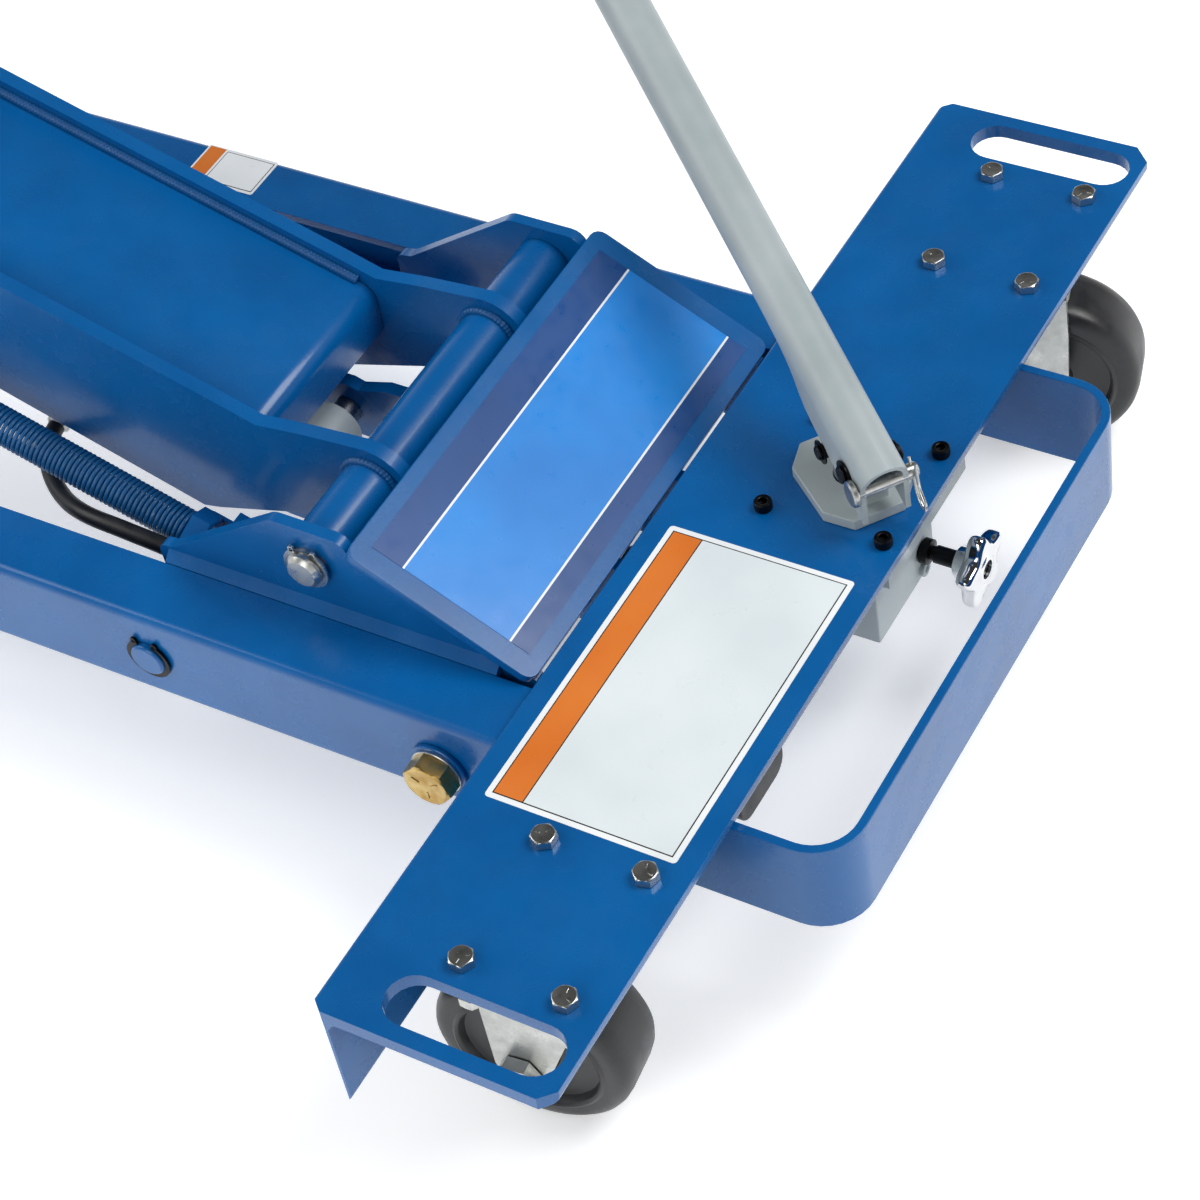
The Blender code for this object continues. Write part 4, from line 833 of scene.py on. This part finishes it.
def member_label():
    """Blank notice on the member: white margin, thin dark frame, orange band and a pale field."""
    x0, x1, y0, y1 = 15.0, 245.0, -62.5, 64.0
    bm = bmesh.new()
    add_panel(bm, Matrix.Identity(4), (x0, y0), (x1, y1), 0.02, 0, corner=2.5)
    add_panel(bm, Matrix.Identity(4), (x0 + 3.6, y0 + 3.6), (x1 - 3.6, y1 - 3.6), 0.1, 1)
    add_panel(bm, Matrix.Identity(4), (x0 + 4.4, y0 + 24.4), (x1 - 4.4, y1 - 4.4), 0.18, 3)
    add_panel(bm, Matrix.Identity(4), (x0 + 4.4, y0 + 4.4), (x1 - 4.4, y0 + 23.6), 0.18, 2)
    from_bmesh("member_label", bm, [WHITE_PRINT, BLACK_PRINT, ORANGE_PRINT, PALE_PRINT], "chassis")


def rail_label():
    """Small blank tag on top of the far rail: orange end and white field."""
    top = box("side_rail_right")[1].z
    bm = bmesh.new()
    where = Matrix.Translation((0, 0, top))
    add_panel(bm, where, (-201.0, -560.0), (-164.0, -500.0), 0.03, 0, corner=2.0)
    add_panel(bm, where, (-200.0, -558.5), (-165.0, -545.0), 0.12, 2)
    add_panel(bm, where, (-198.5, -543.0), (-166.5, -502.0), 0.12, 1)
    add_panel(bm, where, (-197.9, -542.4), (-167.1, -502.6), 0.2, 0)
    from_bmesh("rail_label", bm, [WHITE_PRINT, BLACK_PRINT, ORANGE_PRINT], "chassis")


# ---- casters and wheels ------------------------------------------------------------------------
def wheel(node, axle_radius):
    """Moulded wheel: crowned tread, raised rim bead, recessed web, and a pressed-in bearing."""
    source = frame["nodes"][node]
    centre = middle(node)
    points = [TO_JACK @ v.co for v in source.data.vertices]
    radius = (box(node)[1].z - box(node)[0].z) / 2
    joint = next(j for j in frame["joints"] if j["child"] == node)
    axis = Vector(joint["axis"])
    hub_half = max(abs((p - centre).dot(axis)) for p in points)
    half = hub_half - 3.0
    rim, web = radius * 0.74, half - 7.0
    side = [(axle_radius + 0.3, hub_half), (axle_radius + 7.0, hub_half), (axle_radius + 8.6, hub_half - 0.8),
            (axle_radius + 9.0, hub_half - 2.5), (axle_radius + 10.0, web + 0.6), (axle_radius + 12.0, web),
            (rim - 6.0, web), (rim - 3.6, web + 0.8), (rim - 2.2, half - 1.5), (rim - 1.4, half - 0.2),
            (rim - 0.2, half + 0.5), (rim + 1.2, half - 0.2), (rim + 2.0, half - 0.9), (radius - 10.0, half - 0.9),
            (radius - 6.0, half - 1.8), (radius - 2.6, half - 4.6), (radius - 0.8, half - 8.5),
            (radius - 0.1, half - 14.0)]
    bm = bmesh.new()
    where = pointing(centre, axis)
    add_lathe(bm, where, side + [(r, -h) for r, h in side[::-1]], 96, loop=True)
    for end in (1.0, -1.0):
        sleeve = [(axle_radius + 0.35, end * (hub_half + 0.2)), (axle_radius + 3.5, end * (hub_half + 0.2)),
                  (axle_radius + 3.5, end * (hub_half - 3.0)), (axle_radius + 0.35, end * (hub_half - 3.0))]
        add_lathe(bm, where, sleeve, 48, loop=True, finish=1)
    from_bmesh(node + "_finish", bm, [WHEEL_RUBBER, GROUND_STEEL], node, (node,))


def casters():
    for side, _ in SIDES:
        wheel("caster_wheel_" + side, 8.0)
        wheel("front_wheel_" + side, 10.0)
        plate = middle("caster_plate_" + side)
        low = box("caster_plate_" + side)[0].z
        bm = bmesh.new()
        race = pointing((plate.x, plate.y, low - 0.3), (0, 0, 1))
        add_lathe(bm, race, [(31.4, 1.0), (33.0, 1.6), (33.6, 3.4), (33.6, 7.2), (32.4, 9.0), (31.4, 9.6)], 64,
                  loop=True)
        from_bmesh("caster_race_band_" + side, bm, [ZINC], "chassis")
        rivet = bmesh.new()
        fork_top = box("caster_fork_" + side)[1].z
        add_lathe(rivet, pointing((plate.x, plate.y, fork_top - 6.2), (0, 0, -1)),
                  [(12.0, 0.0), (12.0, 3.2), (11.0, 4.4), (7.0, 4.6), (6.4, 3.2)], 40)
        from_bmesh("caster_kingpin_" + side, rivet, [ZINC], "caster_fork_" + side)


# ---- return spring and hose --------------------------------------------------------------------
SPRING_SLOPE = math.radians(17.8)
SPRING_LINE = Vector((0.0, -math.cos(SPRING_SLOPE), math.sin(SPRING_SLOPE)))
COIL_LENGTH, COIL_PITCH = 287.0, 3.45
COLLAR_FLATS, COLLAR_WALL = 31.0, 15.0


def return_spring():
    """Close-wound coil, screwed onto its two plugs."""
    rear = (TO_JACK @ Vector(next(j for j in frame["joints"] if j["child"] == "spring_rear")["pos_m"]))
    start, length, pitch = rear + SPRING_LINE * 7.6, COIL_LENGTH, COIL_PITCH
    mesh = grown("return_spring_coil", bpy.data.meshes.new("empty"), COIL, SPRING_ENAMEL, Turns=length / pitch,
                 Length=length * MM, Coil_Radius=11.4 * MM, Wire_Radius=1.5 * MM)
    mesh.transform(TO_ROW @ pointing(start, SPRING_LINE) @ Matrix.Scale(1 / MM, 4))
    mesh.materials.append(SPRING_ENAMEL)
    mesh.shade_smooth()
    made = bpy.data.objects.new("return_spring_coil", mesh)
    bpy.context.scene.collection.objects.link(made)
    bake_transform(made)
    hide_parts("return_spring")
    collar = bmesh.new()
    add_hex_head(collar, pointing(rear + SPRING_LINE * 7.0, -SPRING_LINE), COLLAR_FLATS, COLLAR_WALL)
    from_bmesh("spring_plug_collar", collar, [BLUE_ENAMEL], "spring_rear")


HOSE_RADIUS = 6.0
HOSE_ROUTE = [(-27.0, -6.6, -62.0), (-27.0, -36.6, -62.0), (-27.0, -74.0, -62.0), (-27.0, -100.0, -80.0),
              (-21.0, -128.0, -91.0), (3.0, -160.0, -96.0), (40.0, -185.0, -97.0), (90.0, -205.0, -94.0),
              (122.0, -235.0, -82.0), (130.0, -270.0, -66.0), (130.0, -310.0, -51.0), (130.0, -344.0, -40.8),
              (130.0, -375.0, -32.5), (130.0, -410.0, -29.0), (127.0, -445.0, -30.0), (115.0, -474.0, -36.0),
              (98.0, -497.0, -35.0), (80.0, -507.0, -28.0), (60.0, -510.0, -26.0), (41.0, -508.5, -20.0)]


def smooth(points, steps):
    """Catmull-Rom curve through the points."""
    ends = [Vector(points[0]) * 2 - Vector(points[1])] + [Vector(p) for p in points]
    ends.append(Vector(points[-1]) * 2 - Vector(points[-2]))
    curve = []
    for a, b, c, d in zip(ends, ends[1:], ends[2:], ends[3:]):
        for i in range(steps):
            t = i / steps
            curve.append(0.5 * (2 * b + (c - a) * t + (2 * a - 5 * b + 4 * c - d) * t ** 2
                                + (3 * b - a - 3 * c + d) * t ** 3))
    return curve + [ends[-2]]


def add_tube(bm, points, radius, sides=20, finish=0):
    """Round tube along points, its ends capped, its section carried along without twist."""
    rows, side = [], Vector((0, 0, 1))
    for i, point in enumerate(points):
        heading = (points[min(i + 1, len(points) - 1)] - points[max(i - 1, 0)]).normalized()
        side = (side - heading * side.dot(heading)).normalized()
        other = heading.cross(side)
        r = radius(i) if callable(radius) else radius
        rows.append([bm.verts.new(point + (side * math.cos(a) + other * math.sin(a)) * r)
                     for a in (2 * math.pi * k / sides for k in range(sides))])
    faces = [bm.faces.new((low[i], low[(i + 1) % sides], high[(i + 1) % sides], high[i]))
             for low, high in zip(rows, rows[1:]) for i in range(sides)]
    faces += [bm.faces.new(rows[0][::-1]), bm.faces.new(rows[-1])]
    for face in faces:
        face.material_index = finish


def hose():
    """Pressure hose with a crimped ferrule and a swivel nut at each end."""
    path = smooth(HOSE_ROUTE, 8)
    bm = bmesh.new()
    add_tube(bm, path, HOSE_RADIUS)
    ports = ((path[0], path[6]), (path[-1], path[-9]))
    for end, inward in ports:
        where = pointing(end, inward - end)
        add_lathe(bm, where, [(4.0, 0.0), (7.6, 0.2), (7.6, 1.0), (7.2, 10.2), (5.0, 10.4)], 48,
                  hex_shape(15.2, 10.4, 1.2), finish=1)
        crimps = [(8.4 - 0.5 * (i % 2), 11.0 + 1.5 * i) for i in range(12)]
        add_lathe(bm, where, [(6.0, 10.2), *crimps, (6.2, 29.0)], 32, finish=1)
    from_bmesh("hydraulic_hose_finish", bm, [HOSE_RUBBER, ZINC], "chassis", ("hydraulic_hose",))


# ---- pump, release knob and reservoir ----------------------------------------------------------
PASSAGE_PLUG = (-83.7, 56.0, -90.0)


def pump():
    soften("pump_body", GREY_PAINT, 1.0)
    soften("oil_reservoir", BLACK_PLASTIC, 1.2)
    bm = bmesh.new()
    add_lathe(bm, placed(PASSAGE_PLUG, (1, 0, 0), (0, 0, -1)),
              [(5.4, -0.5), (5.6, 0.2), (5.6, 2.6), (5.0, 3.2), (2.9, 3.2), (2.7, 1.2), (0.3, 1.0)], 36)
    from_bmesh("pump_passage_plug", bm, [GREY_PAINT], "chassis")


KNOB_RADIUS, KNOB_WIDTH, KNOB_BOSS = 26.5, 13.0, 11.0


def star_knob():
    """Cast five-lobe knob with rounded rims and a raised boss, and its notched spindle."""
    face = box("star_knob")[1].y
    rod_low, rod_high = box("release_rod")
    x, z = (rod_low.x + rod_high.x) / 2, (rod_low.z + rod_high.z) / 2

    def lobed(angle, radius, _):
        depth = max(0.0, (radius - KNOB_BOSS) / (KNOB_RADIUS - KNOB_BOSS))
        return radius - 4.6 * depth * (1 - math.cos(5 * angle)) + 0.6 * depth * math.cos(10 * angle)

    where = placed((x, face, z), (0, 0, 1), (-1, 0, 0))
    back = -KNOB_WIDTH
    rings = [(6.4, -0.6), (9.0, -0.6), (10.0, -1.4), (11.5, -1.6), (KNOB_RADIUS - 4.6, -0.9),
             (KNOB_RADIUS - 2.2, -1.5), (KNOB_RADIUS - 0.9, -3.0), (KNOB_RADIUS - 0.5, -5.0),
             (KNOB_RADIUS - 0.5, back + 5.0), (KNOB_RADIUS - 0.9, back + 3.0), (KNOB_RADIUS - 2.2, back + 1.3),
             (KNOB_RADIUS - 4.6, back + 0.4), (12.5, back), (11.2, back - 0.6), (10.8, back - 7.0), (10.0, back - 8.0),
             (6.4, back - 8.0)]
    bm = bmesh.new()
    sign = 1.0 if (where.to_3x3() @ Vector((0, 0, 1))).y > 0 else -1.0
    add_lathe(bm, where @ Matrix.Scale(sign, 4, (0, 0, 1)), rings, 120, lobed, loop=True)
    from_bmesh("star_knob_finish", bm, [CHROME], "release_valve", ("star_knob",), sharp=50.0)

    radius = (rod_high.x - rod_low.x) / 2
    start, end = rod_low.y, rod_high.y
    spindle = bmesh.new()
    line = placed((x, start, z), (0, 0, 1), (1, 0, 0))
    length = end - start
    profile = [(radius - 0.6, 0.0), (radius, 0.6), (radius, 19.0)]
    profile += [(radius + 2.6, 19.5), (radius + 2.6, 25.0), (radius + 1.0, 25.4), (radius - 1.2, 26.2),
                (radius - 1.2, 28.0), (radius, 28.6), (radius, length - 0.6), (radius - 0.6, length)]
    add_lathe(spindle, line, profile, 36)
    from_bmesh("release_rod_finish", spindle, [BLACK_OXIDE], "release_valve", ("release_rod",))


# ---- handle and its socket ---------------------------------------------------------------------
HANDLE_TURN, HANDLE_RISE = math.radians(38.0), math.radians(19.0)
HEADING = Vector((math.sin(HANDLE_TURN), math.cos(HANDLE_TURN), 0.0))
SIDEWAYS = Vector((-HEADING.y, HEADING.x, 0.0))
RISING = -HEADING * math.cos(HANDLE_RISE) + Vector((0, 0, 1)) * math.sin(HANDLE_RISE)
PUMP_CENTRE = Vector((-60.5, 25.0, 0.0))
HANDLE_RADIUS, HANDLE_WALL, HANDLE_LENGTH = 16.0, 3.5, 930.0
HANDLE_CROWN = (48.0, 62.0)
FOOT_OVERHANG, FOOT_DEPTH, FOOT_LENGTH, FOOT_FADE = 8.5, 27.0, 70.0, 190.0
FULCRUM, PLUNGER_PIN, CLEVIS_PIN = (31.0, 43.0), (-3.0, 32.0), (46.0, 40.0)


def in_socket(w, z, p=0.0):
    return PUMP_CENTRE + HEADING * w + SIDEWAYS * p + Vector((0.0, 0.0, z))


def handle_tube():
    """Pressed foot, an inverted U, that closes into the round tube over its first hand's breadth."""
    crown = in_socket(*HANDLE_CROWN)
    upward = Vector((0, 0, 1)) * math.cos(HANDLE_RISE) + HEADING * math.sin(HANDLE_RISE)
    start = crown - upward * HANDLE_RADIUS - RISING * FOOT_OVERHANG

    def section(run, inset):
        """Half-open outline at a distance along the tube: crown arc, then walls that curl shut."""
        openness = max(0.0, min(1.0, (FOOT_FADE - run) / (FOOT_FADE - FOOT_LENGTH)))
        openness = openness * openness * (3 - 2 * openness)
        depth = FOOT_DEPTH * min(1.0, max(0.0, (FOOT_FADE - run) / FOOT_FADE) ** 0.55) if run < FOOT_FADE else 0.0
        r = HANDLE_RADIUS - inset
        points = []
        steps = 14
        for i in range(-steps, steps + 1):
            t = i / steps
            if abs(t) <= 0.5:
                angle = math.pi * t
                points.append((r * math.sin(angle), r * math.cos(angle)))
            else:
                side = 1.0 if t > 0 else -1.0
                u = (abs(t) - 0.5) * 2
                round_angle = math.pi / 2 + (math.pi / 2) * u
                closed = (r * math.sin(round_angle), r * math.cos(round_angle))
                straight = (r, -depth * u)
                points.append((side * (closed[0] * (1 - openness) + straight[0] * openness),
                               closed[1] * (1 - openness) + straight[1] * openness))
        return points

    bm = bmesh.new()
    runs = [0.0, 1.2] + [FOOT_LENGTH * i / 6 for i in range(1, 7)] + \
           [FOOT_LENGTH + (FOOT_FADE - FOOT_LENGTH) * i / 14 for i in range(1, 15)] + \
           [FOOT_FADE + (HANDLE_LENGTH + FOOT_OVERHANG - FOOT_FADE) * i / 10 for i in range(1, 11)]
    rows = []
    for run in runs:
        outer, inner = section(run, 0.0), section(run, HANDLE_WALL)
        centre = start + RISING * run
        lean = math.tan(HANDLE_RISE) * max(0.0, 1.0 - run / FOOT_FADE)
        rows.append([bm.verts.new(centre + SIDEWAYS * a + upward * b + RISING * (min(b, 0.0) * lean))
                     for a, b in outer + inner[::-1]])
    count = len(rows[0])
    for low, high in zip(rows, rows[1:]):
        for i in range(count):
            bm.faces.new((low[i], low[(i + 1) % count], high[(i + 1) % count], high[i]))
    half = count // 2
    for row in (rows[0], rows[-1]):
        for i in range(half - 1):
            bm.faces.new((row[i], row[i + 1], row[count - 2 - i], row[count - 1 - i]))
    from_bmesh("pump_handle_finish", bm, [GREY_PAINT], "pump_handle", ("pump_handle",), sharp=40.0)


def pin_through(name, place, radius, half, finish, body, node, ring=True):
    """Cross pin with chamfered ends and a small clip at each end."""
    bm = bmesh.new()
    where = pointing(in_socket(*place), SIDEWAYS)
    end = [(radius - 1.0, half), (radius, half - 1.0), (radius, half - 2.4), (radius - 0.8, half - 2.5),
           (radius - 0.8, half - 3.5), (radius, half - 3.6)]
    add_lathe(bm, where, [(0.4, half), *end, *[(r, -h) for r, h in end[::-1]], (0.4, -half)], 32)
    for sign in (1.0, -1.0):
        clip = where @ Matrix.Translation((0, 0, sign * (half - 3.0)))
        if ring:
            add_lathe(bm, clip, [(radius - 0.6, -0.5), (radius + 3.0, -0.5), (radius + 3.0, 0.5),
                                 (radius - 0.6, 0.5)], 32, loop=True)
    from_bmesh(name, bm, [finish], body, (node,))


def clevis():
    """Zinc clevis pin with a round head on one side and a hairpin cotter on the other."""
    bm = bmesh.new()
    radius, half = 5.0, 24.0
    where = pointing(in_socket(*CLEVIS_PIN), SIDEWAYS)
    add_lathe(bm, where, [(0.4, half), (radius - 1.2, half), (radius, half - 1.2), (radius, -17.5), (8.4, -17.6),
                          (8.8, -18.4), (8.6, -20.4), (7.4, -21.4), (0.4, -21.8)], 40)
    down = Vector((0, 0, -1))
    hole = in_socket(*CLEVIS_PIN, 20.5)
    leg = HEADING * 0.35 + down
    leg.normalize()
    across = HEADING - leg * HEADING.dot(leg)
    across.normalize()
    hair = [hole - leg * 9.0, hole + leg * 14.0, hole + leg * 22.0 + across * 2.6, hole + leg * 25.0 + across * 7.0,
            hole + leg * 20.0 + across * 10.0, hole + leg * 10.0 + across * 6.2, hole + leg * 1.0 + across * 7.2,
            hole - leg * 8.0 + across * 9.0]
    add_tube(bm, smooth(hair, 6), 1.1, 12)
    from_bmesh("clevis_pin_finish", bm, [ZINC], "pump_handle", ("clevis_pin",))


def handle():
    handle_tube()
    soften("socket_flange", GREY_PAINT, 0.9)
    soften("pump_plunger", GROUND_STEEL, 0.4)
    pin_through("fulcrum_pin_finish", FULCRUM, 6.0, 20.5, BLACK_OXIDE, "handle_socket", "fulcrum_pin")
    pin_through("plunger_pin_finish", PLUNGER_PIN, 5.0, 20.5, BLACK_OXIDE, "pump_handle", "plunger_pin")
    clevis()
    soften("handle_grip", WHEEL_RUBBER, 1.2)


def ram():
    soften("ram_cylinder", GREY_PAINT, 0.6)
    soften("ram_rod", CHROME, 0.4)


camera()
studio()
floor()
painted_plates()
pins()
cross_bolts()
member_bolts()
chassis_welds()
arm_welds()
cover_label()
member_label()
rail_label()
casters()
return_spring()
hose()
pump()
star_knob()
handle()
ram()
